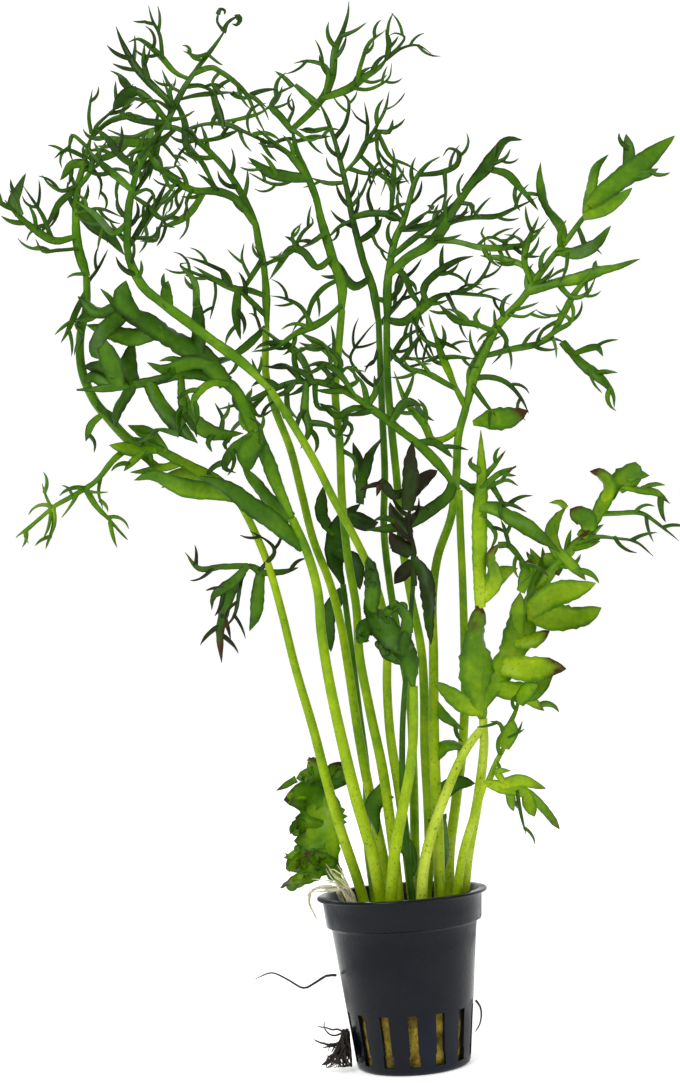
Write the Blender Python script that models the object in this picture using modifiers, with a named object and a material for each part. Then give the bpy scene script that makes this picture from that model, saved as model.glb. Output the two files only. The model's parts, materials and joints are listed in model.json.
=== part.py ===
"""A water sprite fern in a slotted net pot. Metres, +Z up, the origin at the middle of the pot's base."""
import math

import bpy
import bmesh
import numpy as np

MM = 0.001

# Driving sizes of the pot, in mm
POT_HEIGHT = 50.0
BASE_RADIUS = 16.6
STEP_RADIUS = 21.6
BAND_RADIUS = 23.0
LIP_RADIUS = 25.2
BAND_HEIGHT = 8.6
LIP_THICKNESS = 1.0
WALL = 1.0
FLOOR = 1.2
SLOTS = 14
SLOT_WIDTH = 2.9
SLOT_LOW = 2.4
SLOT_HIGH = 17.0
POT_STEPS = 28
FIT_GAP = 0.35

# What fills the pot, in mm
WOOL_TOP = 40.0
CROWN_TOP = 44.0
CROWN_RADIUS = 20.0

# The plant is laid out as seen from a point in front of it, in mm, and each frond is set at its own depth.
SIGHT = (-11.0, -500.0, 106.0)
DRIFT_RATE = 0.36
DRIFT_MOST = 9.0
SECOND_STALK_DRIFT = -2.5
LEAF_THICKNESS = 1.0
STALK_SIDES = 6
LEAF_SIDES = 4
NARROW_SIDES = 3
NARROW = 3.3
ROLL = 0.12
ROOT_SHIFT = 0.09
SLACK = 1.1

# At a main fork the two nodes end face to face, and side limbs stay clear of the gap, in mm.
FORK_RUN = 1.3
FORK_CLEAR = 2.6

# Each frond: its depth in the pot and at the top, then its limbs as (name, width in mm, x,z points in mm as they
# are seen from the front). The first limb is the stalk, the second the rachis, and each other one starts on them.
FRONDS = {
    "left_low_frond": {"depth": "46,-3 100,-9 176,-22 300,-25", "limbs": [
        ("stalk", 2.7, "-11,46 -13,55 -17,70 -20,84 -23,100 -27,118 -30,135 -33,149 -37,161 -41,170"),
        ("rachis", 4.2, "-41,170 -46,175 -53,180 -61,185 -68,189 -73.6,191.3"),
        ("lobe", 4.6, "-42,171 -50,173 -58,175 -66,179 -72,178"),
        ("lobe", 2.0, "-57,182 -64,181 -68,184 -72,188"),
        ("lobe", 3.2, "-65,187 -72,187.7 -79,189.3"),
        ("lobe", 3.0, "-62,186 -67,192 -73,195"),
        ("lobe", 1.5, "-68,188 -72,184 -75,181"),
        ("lobe", 2.6, "-48,177 -56,179 -63,179"),
        ("sprig", 1.4, "-70,189.6 -77.5,185 -83,179 -87,176.5 -92,174 -97,171.5 -103,167 -109,163"),
        ("sprig", 1.4, "-87,176.5 -84,171 -80,166 -75,160"),
        ("sprig", 1.2, "-97,171.5 -97,166 -100,159"),
        ("fine", 0.7, "-82,180 -83,175 -82,170"),
        ("fine", 0.6, "-98,172 -99,175 -100,179"),
        ("fine", 0.6, "-91,174.5 -92,177 -94,178"),
        ("fine", 0.6, "-86,176 -83,175 -80,175"),
        ("fine", 0.7, "-103,167 -106,164 -105,161"),
    ]},
    "far_left_frond": {"depth": "190,-22.8 215,-28 290,-38", "limbs": [
        ("stalk", 2.6, "-74.4,192 -79,198 -83,204 -86,213 -86,223 -83.5,233 -83,242"),
        ("rachis", 2.6, "-83,242 -85,251 -85.5,260 -84.5,269 -82,278 -79,287"),
        ("fine", 0.9, "-79,287 -79.5,293 -78,301"),
        ("lobe", 1.7, "-79,286 -73,291 -66,292 -60,290"),
        ("lobe", 1.6, "-78,287 -77,290 -72,294 -68,299 -65,302"),
        ("fine", 0.9, "-81,283 -85,287 -86,282 -85,278"),
        ("fine", 1.1, "-82,280 -87,282.5 -91,280"),
        ("lobe", 2.8, "-82,278 -86,277.5 -89.5,273"),
        ("fine", 1.0, "-84,271 -89,269.5 -93,272 -95,275"),
        ("lobe", 1.9, "-84.5,270 -90,266 -94,260 -97,256"),
        ("lobe", 2.0, "-85.5,255 -92,254 -98,258 -103,263 -107,268"),
        ("lobe", 3.0, "-103,262 -104,267 -102,271 -100,276"),
        ("lobe", 1.2, "-104,264 -108,267 -111,271"),
        ("fine", 1.1, "-93,254 -95,261 -97,265 -101,272"),
        ("fine", 1.2, "-86,251 -91,251 -96,251 -98,255"),
        ("lobe", 3.2, "-85.5,264 -80,258 -75,254 -71,248"),
        ("fine", 1.0, "-85,262 -78,263 -71,260"),
        ("fine", 0.9, "-81,279 -77,272 -78,266"),
        ("lobe", 1.8, "-83.5,270 -80,276 -80,284"),
        ("lobe", 1.5, "-79,280 -74,275 -70,270 -68,268"),
        ("lobe", 1.5, "-83.5,238 -87,231 -90,225 -92,222"),
        ("fine", 1.0, "-84,240 -79,245 -76,250"),
        ("lobe", 1.6, "-83,204 -80,200 -76,198"),
        ("lobe", 1.9, "-80,199 -84,196 -86,191"),
        ("fine", 1.0, "-84,231 -87,227 -85,224 -87,219"),
        ("fine", 0.9, "-83,243 -87,243 -89,242"),
        ("fine", 1.0, "-80,263 -77,257 -76,252"),
    ]},
    "arching_frond": {"depth": "46,-1 100,-4 140,-14 200,-42 330,-60", "limbs": [
        ("stalk", 2.6, "3,47 2.5,60 1.5,78 0,95 0,110 1,124 0,136 -3,147 -7,157 -12,168 -17,180 -23,192 -29,203"),
        ("rachis", 2.8, "-29,203 -36,211 -44,218 -52,225 -60,232 -66,238 -69.5,247 -69.5,257 -68,266 -65,275"
         " -60,283 -55,290 -51,297 -47,303 -42,309 -38,314 -35,318"),
        ("sprig", 1.4, "-36,316.5 -34.5,319.5 -31.5,321.6"),
        ("fine", 1.2, "-32.2,321.2 -31,321.3 -30.8,320 -32,318.7 -33.3,319.2"),
        ("curl", 1.0, "-36,317 -37.8,320 -37.4,323.2"),
        ("fine", 1.0, "-37.5,322.6 -36.6,324 -35.4,323.4 -35.6,322.3"),
        ("fine", 0.9, "-41,310 -45,309.5 -49,311.5"),
        ("fine", 0.8, "-43,308 -46,309 -48,312"),
        ("fine", 0.7, "-41,309.5 -38.5,307 -37,306"),
        ("lobe", 1.4, "-47,302 -52,305 -56,310 -60,314.5 -63,316.5 -66,315.5"),
        ("fine", 0.9, "-55,310 -56,317 -58,322 -59,327"),
        ("lobe", 1.8, "-53,294 -60,302 -65,309 -68,316 -69.5,321"),
        ("fine", 1.3, "-60,303 -61.5,309 -61,315"),
        ("lobe", 1.8, "-56,290 -62,298 -68,302 -70,306"),
        ("lobe", 3.2, "-64,300 -67,299 -72,294"),
        ("lobe", 1.8, "-52,296 -44,297 -36,297 -29,296 -24,291"),
        ("lobe", 2.0, "-41,297 -39,290 -38,285"),
        ("fine", 1.1, "-49,300 -44,300 -40,297 -39.5,293"),
        ("fine", 1.2, "-46,304 -41,305.5 -38,304 -31,298 -28,291 -25,284"),
        ("fine", 0.8, "-38,304 -40.5,301 -40,297"),
        ("lobe", 1.3, "-68,267 -63,263 -59,259 -54,261 -51,267"),
        ("lobe", 1.5, "-69.5,250 -65,257 -60,264 -56,271"),
        ("fine", 0.9, "-66,252 -62,253 -59,257 -57,261"),
        ("lobe", 1.7, "-69,258 -74,255 -79,261 -85,266"),
        ("lobe", 1.8, "-65,275 -70,279 -74,285 -78,289"),
        ("lobe", 2.2, "-60,283 -68,283.5 -75,286"),
        ("lobe", 1.6, "-62,280 -58,274 -52,270"),
        ("fine", 0.9, "-60,285 -56,281 -52,275"),
        ("lobe", 1.8, "-56,289 -62,290 -68,291"),
        ("lobe", 1.7, "-52,295 -50,288 -50,281 -47,275"),
        ("fine", 1.0, "-67,267 -63,268 -61,266 -61,262"),
        ("lobe", 1.8, "-67,268 -71,272 -77,278 -80,282"),
        ("lobe", 1.3, "-57,287 -63,281 -68,274"),
        ("lobe", 1.6, "-58,286 -60,278 -64,270"),
        ("fine", 1.0, "-68,240 -66,243 -66,246"),
        ("lobe", 3.0, "-58,231 -59,235 -58,239"),
        ("fine", 1.2, "-54,293 -58,296 -62,296 -65,294"),
        ("fine", 1.0, "-50,298 -54,301 -56,306"),
    ]},
    "top_left_frond": {"depth": "46,5 176,8 330,6", "limbs": [
        ("stalk", 2.7, "-3,47 -5,62 -7.5,80 -9.5,97 -11,115 -12.5,130 -15,143 -19,156 -21.5,170 -24,184 -28,197"
         " -30,208 -29,222"),
        ("rachis", 2.4, "-29,222 -28.5,236 -29.5,248 -31,257 -35,267 -40,275 -46,282 -53,287 -60,287 -67,285 -74,288"),
        ("lobe", 2.2, "-30.5,255 -35,262.5 -41,266 -48,267 -54,270 -61,276"),
        ("lobe", 1.9, "-45,267 -50,260 -55,257 -60,256"),
        ("fine", 1.1, "-60,256 -61,252 -66,252"),
        ("lobe", 1.5, "-41,266 -45,275 -49,282 -49,287"),
        ("lobe", 1.5, "-54,269 -60,262 -66,253"),
        ("fine", 1.1, "-52,268 -57,263 -59,257"),
        ("fine", 1.0, "-49,267 -51,263 -50,259"),
        ("lobe", 1.6, "-47,282 -40,283 -33,285"),
        ("lobe", 2.0, "-51,286 -43,288 -36,287 -29,283 -22,279 -15,272"),
        ("lobe", 1.4, "-39,288 -32,288.5 -26,290 -20,295"),
        ("lobe", 2.2, "-60,287 -63,280 -67,273"),
        ("lobe", 1.8, "-58,287 -60,279 -62,271"),
        ("lobe", 1.8, "-66,285 -71,281 -77,279 -81,281"),
        ("fine", 1.3, "-55,287 -54,296 -56,303"),
        ("lobe", 2.2, "-62,277 -58,274 -52,275"),
        ("fine", 1.0, "-58,257 -59,253 -61,250"),
        ("lobe", 1.8, "-28.5,232 -33,234 -38,235 -43,238 -50,243"),
        ("lobe", 2.4, "-39,235.3 -40.6,240 -42,242"),
        ("fine", 1.0, "-41,241 -47,244 -52,246"),
        ("fine", 1.1, "-42,237 -48,240 -53,242.5 -54,244 -51,244"),
        ("lobe", 1.4, "-35.3,234.6 -32,239 -29,244 -31,248"),
        ("fine", 0.9, "-33,238 -35,244 -34,249"),
        ("fine", 1.0, "-44,238 -44,233 -46,226"),
        ("lobe", 2.6, "-29,222 -36,216 -44,212 -52,213"),
        ("lobe", 1.8, "-29.5,226 -33,231 -37,235"),
        ("lobe", 2.4, "-37,234 -38,226 -37,219"),
        ("fine", 1.0, "-30,220 -32,226 -34,227"),
    ]},
    "tall_middle_frond": {"depth": "46,-6 176,-4 330,-6", "limbs": [
        ("stalk", 2.7, "-1,47 -1.5,62 -3,85 -5.5,103 -7.5,120 -7.5,135 -9,150 -9.5,168 -9,185 -9.3,200 -7.5,213"
         " -5.5,226"),
        ("rachis", 3.2, "-5.5,226 -5,234 -7,242 -9.5,253 -11,262 -13.5,270 -16,278 -17,285"),
        ("lobe", 3.0, "-13,268 -19,269 -25,271 -31,276"),
        ("lobe", 1.2, "-16,267 -23,267 -31,271"),
        ("lobe", 1.9, "-17,283 -20,288 -23,292 -20,296 -15,298"),
        ("fine", 1.2, "-16,298 -18.5,301 -21,303"),
        ("lobe", 1.6, "-15,298 -11,294 -7,291"),
        ("lobe", 2.0, "-17,284 -12,288 -8,292 -5,296 -3,301 -2,308 1,314 3,320 3.5,324"),
        ("lobe", 1.2, "-6,294 -4.5,301 -6,304 -11,305.5 -15,305"),
        ("lobe", 2.2, "-7,293 1,295.5 7,299 12,302 15,306"),
        ("lobe", 1.5, "14,304 15,309 14.3,314"),
        ("fine", 0.8, "14,304 19,307.5 24,308 28,305"),
        ("fine", 0.8, "14.5,305 18,308 20,311 17,312.5 15,311.5"),
        ("fine", 0.8, "14.5,312 15.5,316 17,319"),
        ("lobe", 1.5, "4,297 6,304 9,310 14,313.5"),
        ("fine", 1.0, "2,295.5 8,295 14,298 15.5,303"),
        ("lobe", 2.2, "-12,268 -17,275 -22,280 -28,285"),
        ("lobe", 1.5, "-16.3,280 -11,281 -5,281"),
        ("fine", 1.1, "-17,284 -12,280 -7,281.5"),
        ("fine", 1.1, "-18,286 -16,291 -16.5,294"),
        ("lobe", 2.0, "-6.5,243 -12,240 -16,245 -20,246 -24,241 -27,237"),
        ("fine", 1.1, "-19,246 -16,251 -12.5,254 -13,256"),
        ("fine", 0.9, "-18.5,246 -19,251 -16,254"),
        ("lobe", 1.4, "-5,236 -11,233 -15,228 -17,220"),
        ("lobe", 2.2, "-5.5,228 -12,223 -20,220 -27,216 -34,215"),
        ("fine", 1.2, "-15,222 -18,228 -23,231 -27,232"),
        ("lobe", 2.0, "-10,250 -14,247 -18,246"),
        ("lobe", 2.0, "-8.5,210 -13,216 -19,220"),
        ("fine", 1.2, "-8.5,205 -5,208 -2,208"),
        ("fine", 1.1, "-9,193 -5,190 -6,187 -9,188"),
        ("fine", 1.1, "-9,183 -5,180 -4,174"),
    ]},
    "upper_middle_frond": {"depth": "46,9 176,26 330,44", "limbs": [
        ("stalk", 2.5, "4,47 5,65 6,85 6.5,105 4.5,125 3,142 2.5,158 4,175 4.5,192 5,208 5.5,222"),
        ("rachis", 2.4, "5.5,222 4.5,232 2,242 0,253 -1.5,265 -3.5,277 -6,287 -8,292"),
        ("lobe", 2.0, "-2,269 3,274 6,279 9,283 12,288 14,294"),
        ("fine", 1.1, "5.5,278 6.5,284 6,291"),
        ("lobe", 1.5, "9,281 13,281 14.5,285"),
        ("lobe", 1.7, "9.5,281 12,275 15,270 18,264"),
        ("fine", 1.0, "9,281 9,273 11,267 9,261"),
        ("lobe", 1.4, "4,274 8,269 13,265 18,265"),
        ("fine", 1.2, "-1,271 5,268.5 11,269 12,266"),
        ("lobe", 1.3, "-1.5,266 -7,266 -12,268"),
        ("lobe", 2.4, "-0.5,255 6,256 12,255 16,251"),
        ("lobe", 1.5, "0,254 -5,252 -9,248"),
        ("fine", 1.1, "0,258 3,262 5,266 7,270"),
        ("lobe", 2.0, "1,247 6,250 9,254"),
        ("lobe", 2.8, "3.5,235 -1,233 -5,237 -9,241"),
        ("lobe", 1.8, "5,229 9,228 13,232 14,238"),
        ("lobe", 1.4, "-5,284 -11,283 -15,284"),
        ("fine", 1.2, "-4,280 0,285 1,291 -3,294"),
        ("lobe", 1.6, "13,258 13,264 14,272 13.5,276"),
        ("fine", 1.1, "6,255 5,262 8,268"),
        ("fine", 1.0, "5,250 7,245 11,242"),
        ("lobe", 1.6, "5.5,220 9,224 14,229 16,234"),
        ("lobe", 1.5, "5,206 9,211 13,216 19,219"),
        ("fine", 1.1, "4.5,200 0,204 -4,211 1,218 5,222"),
        ("fine", 1.0, "4.5,214 3,209 0,208"),
    ]},
    "right_middle_frond": {"depth": "46,3 176,14 330,22", "limbs": [
        ("stalk", 2.7, "7,47 9,60 9.7,75 10,92 11,108 11,122 9,138 7.5,155 7.5,172 7,190 7,206 8,222"),
        ("rachis", 2.6, "8,222 9.5,236 12,246 15,252 18,260 20.5,266 24,270 28,272"),
        ("lobe", 3.0, "9.5,236 16,241 22,244 27,249 31,255 36,261 41,266"),
        ("lobe", 4.2, "35,260 41,266 45,271 49,275.5 54,275.5"),
        ("fine", 1.1, "43,268 48,270 50,273"),
        ("fine", 1.0, "44,269 45,272 46,275"),
        ("lobe", 1.7, "24,245 30,245 38,242.5 46,242 53,243 60,250"),
        ("lobe", 1.5, "25,247 30,251 37,252 44,252 50,254 57,257"),
        ("lobe", 2.6, "42,267 48,265 52,260 57,253"),
        ("lobe", 1.5, "22,266 28,267 33,269 34,273 31,274.5 29,272"),
        ("fine", 1.1, "29,268 29,260 27,254"),
        ("lobe", 2.0, "14,250 20,250 26,252 32,258"),
        ("fine", 1.1, "16,251 20,253 25,256"),
        ("fine", 1.1, "26,257 23,257"),
        ("lobe", 1.8, "11,241 17,246 24,250 31,252"),
        ("lobe", 1.8, "10,238 14,236 16,230 20,224"),
        ("lobe", 1.6, "33,257 37,256 36,252"),
        ("fine", 1.0, "37,242.5 41,245.5 45,244 50,240"),
        ("fine", 0.7, "40,245 39,247 40,249"),
        ("lobe", 2.4, "8,222 13,221 18,224 24,228 29,229"),
        ("fine", 1.1, "28,229 34,230 38,233 41,238 41,243"),
        ("fine", 1.0, "29,228 35,228 40,227 46,224"),
        ("fine", 1.2, "27,228 30,222 36,217"),
        ("fine", 0.8, "30,229 33,231 38,231"),
        ("lobe", 2.0, "21,226 20,231 25,236 31,239 36,240"),
        ("fine", 0.9, "25,236 31,234 35,229"),
        ("lobe", 1.5, "7.5,214 11,209 15,213 19,218"),
        ("lobe", 1.3, "9,211 14,206 20,205"),
        ("fine", 1.0, "17,225 17,218 19,211"),
        ("fine", 1.1, "15,223 19,216 22,208"),
    ]},
    "tall_right_frond": {"depth": "46,-9 140,-10 200,-2 330,2", "limbs": [
        ("stalk", 2.9, "11,46 12,65 12.5,85 13.5,103 14.7,120 15.5,135 18,148 23,160 25.5,172 27,184 30,193"),
        ("rachis", 2.8, "30,193 33,202 37,210 41,217 46,222 51,227 55,232 60,238 65,243 70,249 74,254"),
        ("lobe", 6.4, "73,253 77,256.5 82,260 88,264 95,269 101,273.5"),
        ("lobe", 3.0, "85,262 86.5,268 86,275"),
        ("lobe", 2.6, "84,260 90,262 95,263.5"),
        ("lobe", 3.2, "72,251 73.5,258 75.5,265 80,269"),
        ("lobe", 3.2, "71,249.5 77,251.5 82,254.5 86.5,258"),
        ("lobe", 3.4, "65,242 63.5,248 60,254 58.5,261 59,268"),
        ("lobe", 4.0, "62,239 68,238.5 74,241 79,246.5"),
        ("lobe", 1.2, "69,247 70,241 67,238"),
        ("lobe", 3.2, "52,227.5 60,230 68,231 75,233 81,234 87,235.5"),
        ("lobe", 1.6, "73,232.5 73.5,236"),
        ("fine", 1.2, "61,228 65,225 70,226 73,231"),
        ("lobe", 1.6, "72,232 66,226 62,220 58,214 53,211"),
        ("fine", 0.9, "65,239 64,234 62,230"),
        ("lobe", 1.6, "39,207 45,210 52,211 58,212.5 62,211"),
        ("lobe", 3.0, "61,211.5 66,205 71,200 75,195 75,190"),
        ("lobe", 1.9, "65,208 71,209 73,206"),
        ("fine", 1.3, "55,212 60,215 64,217.5 61,221 60,223"),
        ("lobe", 1.8, "55,231 51,236 45,238.5 38,240"),
        ("lobe", 1.5, "53,230 51.5,237 53,243 57,251"),
        ("fine", 1.2, "51.5,238 51.5,243 49,245.5 46,246"),
        ("lobe", 2.4, "41,216 35,219 29,221 24,226"),
        ("fine", 1.3, "33,202 38,202 43,200 47,195 49,190"),
        ("fine", 1.2, "33,200 36,194 39,190"),
        ("lobe", 2.2, "30,193 27,200 24,209 22,217 21,223"),
        ("lobe", 1.5, "27,199 20,204 14,206.5 12,210"),
        ("lobe", 1.5, "31,198 32,205 36,211 40,217"),
        ("fine", 1.1, "24,209 28,209 34,208"),
        ("fine", 1.1, "26,216 28,212 30,210"),
        ("fine", 1.0, "24,210 20,208.5 18,208"),
        ("fine", 1.2, "42,217 44,213 42,209 39,206"),
        ("fine", 0.8, "45,221 50,220 54,222"),
        ("fine", 0.8, "41,217 41,221 41,223"),
        ("fine", 0.9, "40,216 37,215 35,213"),
        ("fine", 1.1, "35,217 35,221 37,224"),
        ("lobe", 1.8, "28,187 23,184 19,184 17,189 12,196 9,206"),
        ("lobe", 1.8, "25,172 29,169 33,164"),
    ]},
    "centre_left_frond": {"depth": "46,-11 120,-20 176,-33 330,-38", "limbs": [
        ("stalk", 3.2, "-6,46 -8,62 -11.5,78 -14.5,95 -17,112 -18.5,128 -18.7,140 -21,152 -25,163"),
        ("rachis", 4.6, "-25,163 -28,171 -31,180 -34,189 -37,197 -41,205 -48,208.5 -56,209.5 -66,208 -76,207 -88,207"),
        ("lobe", 5.0, "-33,188 -37,184 -37.5,178"),
        ("lobe", 1.8, "-35,190 -41,186 -44.5,180 -41,178"),
        ("lobe", 4.4, "-22,154 -29,161 -36,167 -43,173 -52,178"),
        ("lobe", 3.4, "-25,163 -31,168 -36,175 -39,180"),
        ("lobe", 1.5, "-41,206 -47,206 -52,202 -53,196"),
        ("lobe", 4.0, "-70,207 -71.5,213 -69.5,221"),
        ("lobe", 5.0, "-75,207 -77,215 -80,224"),
        ("lobe", 2.6, "-74,211 -80,214 -86,214"),
        ("lobe", 3.6, "-66,207 -62,200 -57,193 -52,188"),
        ("lobe", 3.4, "-71,206 -76,201 -77,195"),
        ("lobe", 5.6, "-41,207 -48,214 -56,220 -64,226 -72,231 -79,238"),
        ("lobe", 3.8, "-61,223 -69,222 -76,224 -84,227"),
        ("lobe", 4.6, "-68,228 -72,234 -71,240"),
        ("lobe", 3.0, "-74,232 -80,231 -86,236"),
        ("lobe", 3.6, "-50,216 -50,224 -49.5,233"),
        ("fine", 1.4, "-49.5,230 -50,238 -54,243"),
        ("lobe", 2.6, "-46,212 -52,213 -60,211.5 -66,214"),
        ("lobe", 3.2, "-77,208 -82,211 -86,209"),
        ("lobe", 1.6, "-56,210 -56,202 -56,196 -58,190"),
        ("lobe", 3.4, "-57,203 -54,197 -51,193 -45,190 -38,190"),
        ("fine", 1.1, "-45,190 -44,195 -46,200"),
        ("fine", 1.1, "-42,190 -44,187 -43,185"),
        ("fine", 1.1, "-47,191 -49,188 -48,185"),
        ("fine", 1.2, "-60,192 -64,193 -67,193"),
        ("lobe", 3.8, "-72,229 -77,226 -82,219 -80,216"),
        ("lobe", 2.0, "-34,190 -38,194 -38,199 -35,203"),
        ("fine", 1.2, "-32,184 -33,192 -36,195"),
    ]},
    "diagonal_frond": {"depth": "46,1 110,2 150,-14 205,-15", "limbs": [
        ("stalk", 2.7, "14,47 15,60 18,75 21,90 23,105 24,120 25,140 25.5,155 26,168"),
        ("rachis", 2.8, "26,168 21,176 14,184 6,191 -2,198 -10,203 -20,205 -28,203 -36,200 -45,198"),
        ("lobe", 2.8, "27,172 22,166 14,161 5,158 -3,158"),
        ("lobe", 1.6, "14,183 20,183 25,178"),
        ("lobe", 2.0, "7,190 12,196 17,194.5"),
        ("lobe", 1.8, "2,194 -4,195 -9,193 -14,197"),
        ("lobe", 1.4, "-3,198 -8,207 -13,210 -19,209"),
        ("lobe", 1.6, "-16,205 -19,212 -24,217 -30,217"),
        ("lobe", 1.7, "-18,204 -19,196 -18,190 -21,184"),
        ("fine", 1.3, "-15,204 -15,197 -12,195"),
        ("fine", 1.2, "-18,192 -13,191 -9,189"),
        ("fine", 1.1, "-20,206 -21,213 -17,215 -13,217"),
        ("fine", 1.2, "-24,204 -24,197 -21,193"),
        ("lobe", 1.4, "-30,202 -35,198 -38,194 -36,190"),
        ("fine", 1.1, "-12,204 -7,209 -10,214 -17,218"),
        ("fine", 1.0, "-36,200 -33,195 -28,197"),
        ("fine", 1.2, "-27,203 -32,207 -34,213"),
        ("fine", 1.1, "-7,201 -2,204 -5,208"),
        ("fine", 1.3, "0,196 3,200 3,205"),
        ("fine", 1.1, "-19,205 -24,210 -29,210"),
    ]},
    "broad_frond": {"depth": "46,-4 99,-14 150,-24 330,-30", "limbs": [
        ("stalk", 3.0, "18,47 20.5,60 24.5,75 27.5,90 28,99"),
        ("blade", 9.5, "28,99 28,108 28,118 29,127 30,134"),
        ("lobe", 3.2, "30,132 30.5,145 31.5,158 33,170 34,186"),
        ("blade", 8.0, "29,102 33,111 38,119 42,127 46,134 49,141 50,149"),
        ("lobe", 4.4, "28,101 22,104 14,111"),
        ("second_stalk", 3.0, "27.6,96.5 24,92.5 19.5,86 14,75 10,66 7,56 5,42"),
        ("lobe", 6.0, "43,130 50,133.5 57,135.5 65,137"),
        ("lobe", 7.0, "44,129 51,127.5 59,127 66,129.5"),
        ("lobe", 6.4, "36,113 42,113 48,113 54,112"),
        ("lobe", 5.0, "35,106 40,106 45,107 50,111"),
        ("lobe", 5.0, "40,121 45,122 50,123.5"),
        ("lobe", 2.0, "38,104 43,103 46.5,100"),
        ("lobe", 2.8, "46,135 51,140 56,145 60,149 65,154"),
        ("lobe", 4.2, "62,151 67,157 70,162 74,166 78,168"),
        ("lobe", 8.0, "74,165 78,168.5 80,173"),
        ("lobe", 2.8, "77,168 80,169.5 84,168.5"),
        ("lobe", 3.4, "70,161 71,166 69,170 66,171"),
        ("lobe", 2.0, "75,165 81,164.5 86,163 89.5,159.5"),
        ("lobe", 5.0, "64,153 64,156 61,158.5 59,160"),
        ("lobe", 3.2, "55,145 53,152 55,157 58,160.5"),
        ("lobe", 1.8, "58,160 56,162 53,162.5"),
        ("fine", 1.0, "69,157 74,157.5 81,157 88,151 91,148"),
        ("fine", 1.0, "62,148 67,151 74,150 79,148 83,144"),
        ("lobe", 3.0, "60,148 64,150 68,151"),
        ("lobe", 3.6, "31.5,163 38,161 45,156 51,151 55,147"),
        ("lobe", 2.2, "54,148 58,143 62,138"),
        ("lobe", 4.0, "49,146 53,144 54,140"),
        ("lobe", 2.6, "47,136 48,143 46,149"),
        ("lobe", 4.0, "31,134 35,140 34,147 37,151"),
        ("lobe", 4.6, "33,134 34,140 38,142 42,143"),
        ("lobe", 3.6, "38,125 41,131 42,136"),
        ("lobe", 3.0, "42,139 45,143 46,146"),
        ("fine", 1.1, "36,151 40,150 44,144 45,141 42,138"),
        ("fine", 1.2, "33,171 37,175 41,179"),
        ("fine", 1.3, "33,168 38,172 44,174"),
        ("fine", 1.1, "34,167 40,170 44,168"),
        ("fine", 1.0, "36,169 38,165 40,161"),
        ("fine", 1.4, "32.5,163 37,163 42,162.5 46,160"),
        ("fine", 1.2, "33,173 30,176 31,178"),
        ("fine", 1.0, "33,160 36,154 34,149"),
        ("fine", 0.9, "41,152 39,155 38,158"),
    ]},
    "low_right_leaf": {"depth": "46,-8.5 62,-13 80,-24 110,-30", "limbs": [
        ("short_stalk", 2.4, "16,47 19,60 24,73 27,80"),
        ("rachis", 4.0, "27,80 33,78 39,76 44,71 48,65"),
        ("lobe", 3.2, "31,79 38,80 45,77"),
        ("lobe", 2.4, "34,77.6 34.5,74 35,71"),
        ("lobe", 3.4, "39,76 39.6,73 41,69"),
        ("fine", 0.9, "36,76 37,70 38,64"),
        ("lobe", 1.8, "33,79 31,83 35,83"),
        ("sprig", 1.6, "28,80 31,86 34,91 35.2,96.5"),
        ("lobe", 4.4, "33,90 35.5,94 37,98"),
        ("sprig", 1.5, "35.2,96 38,101 39,105"),
        ("lobe", 5.0, "38,103 41,106 45,108"),
        ("fine", 1.2, "34,92 33,97 30,98"),
        ("fine", 0.8, "35,93 38,94 40,95"),
    ]},
    "brown_left_leaf": {"depth": "46,-3 100,-9 176,-22 300,-25", "limbs": [
        ("rachis", 2.2, "-35.4,147.3 -37.5,149 -40,150"),
        ("lobe", 1.8, "-39,150 -47,150 -54,150 -58,155"),
        ("lobe", 3.0, "-39,150 -44,145 -50,141 -51,137"),
        ("lobe", 2.8, "-41,148 -46,140 -49,131 -49,121"),
        ("fine", 1.2, "-41,147 -43,139 -45,134 -49,130"),
        ("lobe", 3.6, "-35.6,147 -36.8,140 -38,134 -40,130"),
        ("fine", 1.2, "-35.5,148 -31,153 -33,157 -38,160"),
        ("fine", 1.6, "-33,147 -29,147 -24,148"),
    ]},
    "fiddlehead": {"depth": "46,-15.5 110,-28 150,-32", "limbs": [
        ("stalk", 3.0, "-3.5,47 -1.5,60 1.5,72 5,85 7,97 8,110"),
        ("blade", 5.6, "8,110 8,116 7,122 7.3,128.5"),
        ("sprig", 3.0, "7.2,126.5 7.4,131 5,134.3 1.7,133.6 0.4,130.8 2.2,128.8"),
        ("lobe", 7.0, "6,120 2,126 -2,131 -5,137"),
        ("lobe", 5.0, "-2,131 -6,127 -5,124"),
        ("lobe", 4.0, "5,117 1,121 -1,125"),
        ("lobe", 4.6, "-3,133 -2.5,143 -3,150"),
    ]},
    "dark_leaflets": {"depth": "46,-10 90,-12 140,-24 190,-28", "limbs": [
        ("stalk", 1.8, "3,47 2.5,62 2.5,80 4,100 7,120 10,140"),
        ("rachis", 2.2, "10,140 10.5,150 10,160 11,172"),
        ("lobe", 4.4, "10.4,163 12,175 13,184"),
        ("lobe", 3.4, "10.6,166.8 16,172.4 20,174.5"),
        ("lobe", 2.4, "10.8,169 6,168 3,172 1,168"),
        ("lobe", 4.2, "10.1,156 7,161 5,166"),
        ("lobe", 5.2, "10.2,150 7,153 4,157"),
        ("lobe", 4.0, "10.3,147 7,144 4.4,141"),
        ("lobe", 4.2, "10.5,148 14,142 14,134 14,122"),
    ]},
    "dark_back_leaf": {"depth": "46,12 142,16 190,16", "limbs": [
        ("stalk", 2.4, "-8,47 -9,65 -8,85 -9,105 -10,125 -11,142"),
        ("blade", 6.0, "-11,142 -13,150 -12,158 -8,163 -4,166"),
        ("lobe", 5.4, "-8,163 -3,160 1,160"),
        ("lobe", 4.6, "-12,157 -16,163 -15,172"),
        ("lobe", 4.0, "-4,166 -3,173 0,180 4,186"),
        ("lobe", 3.4, "-5,168 -3,176 -5,185"),
        ("lobe", 5.0, "-12,152 -7,148 -6,140"),
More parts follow.
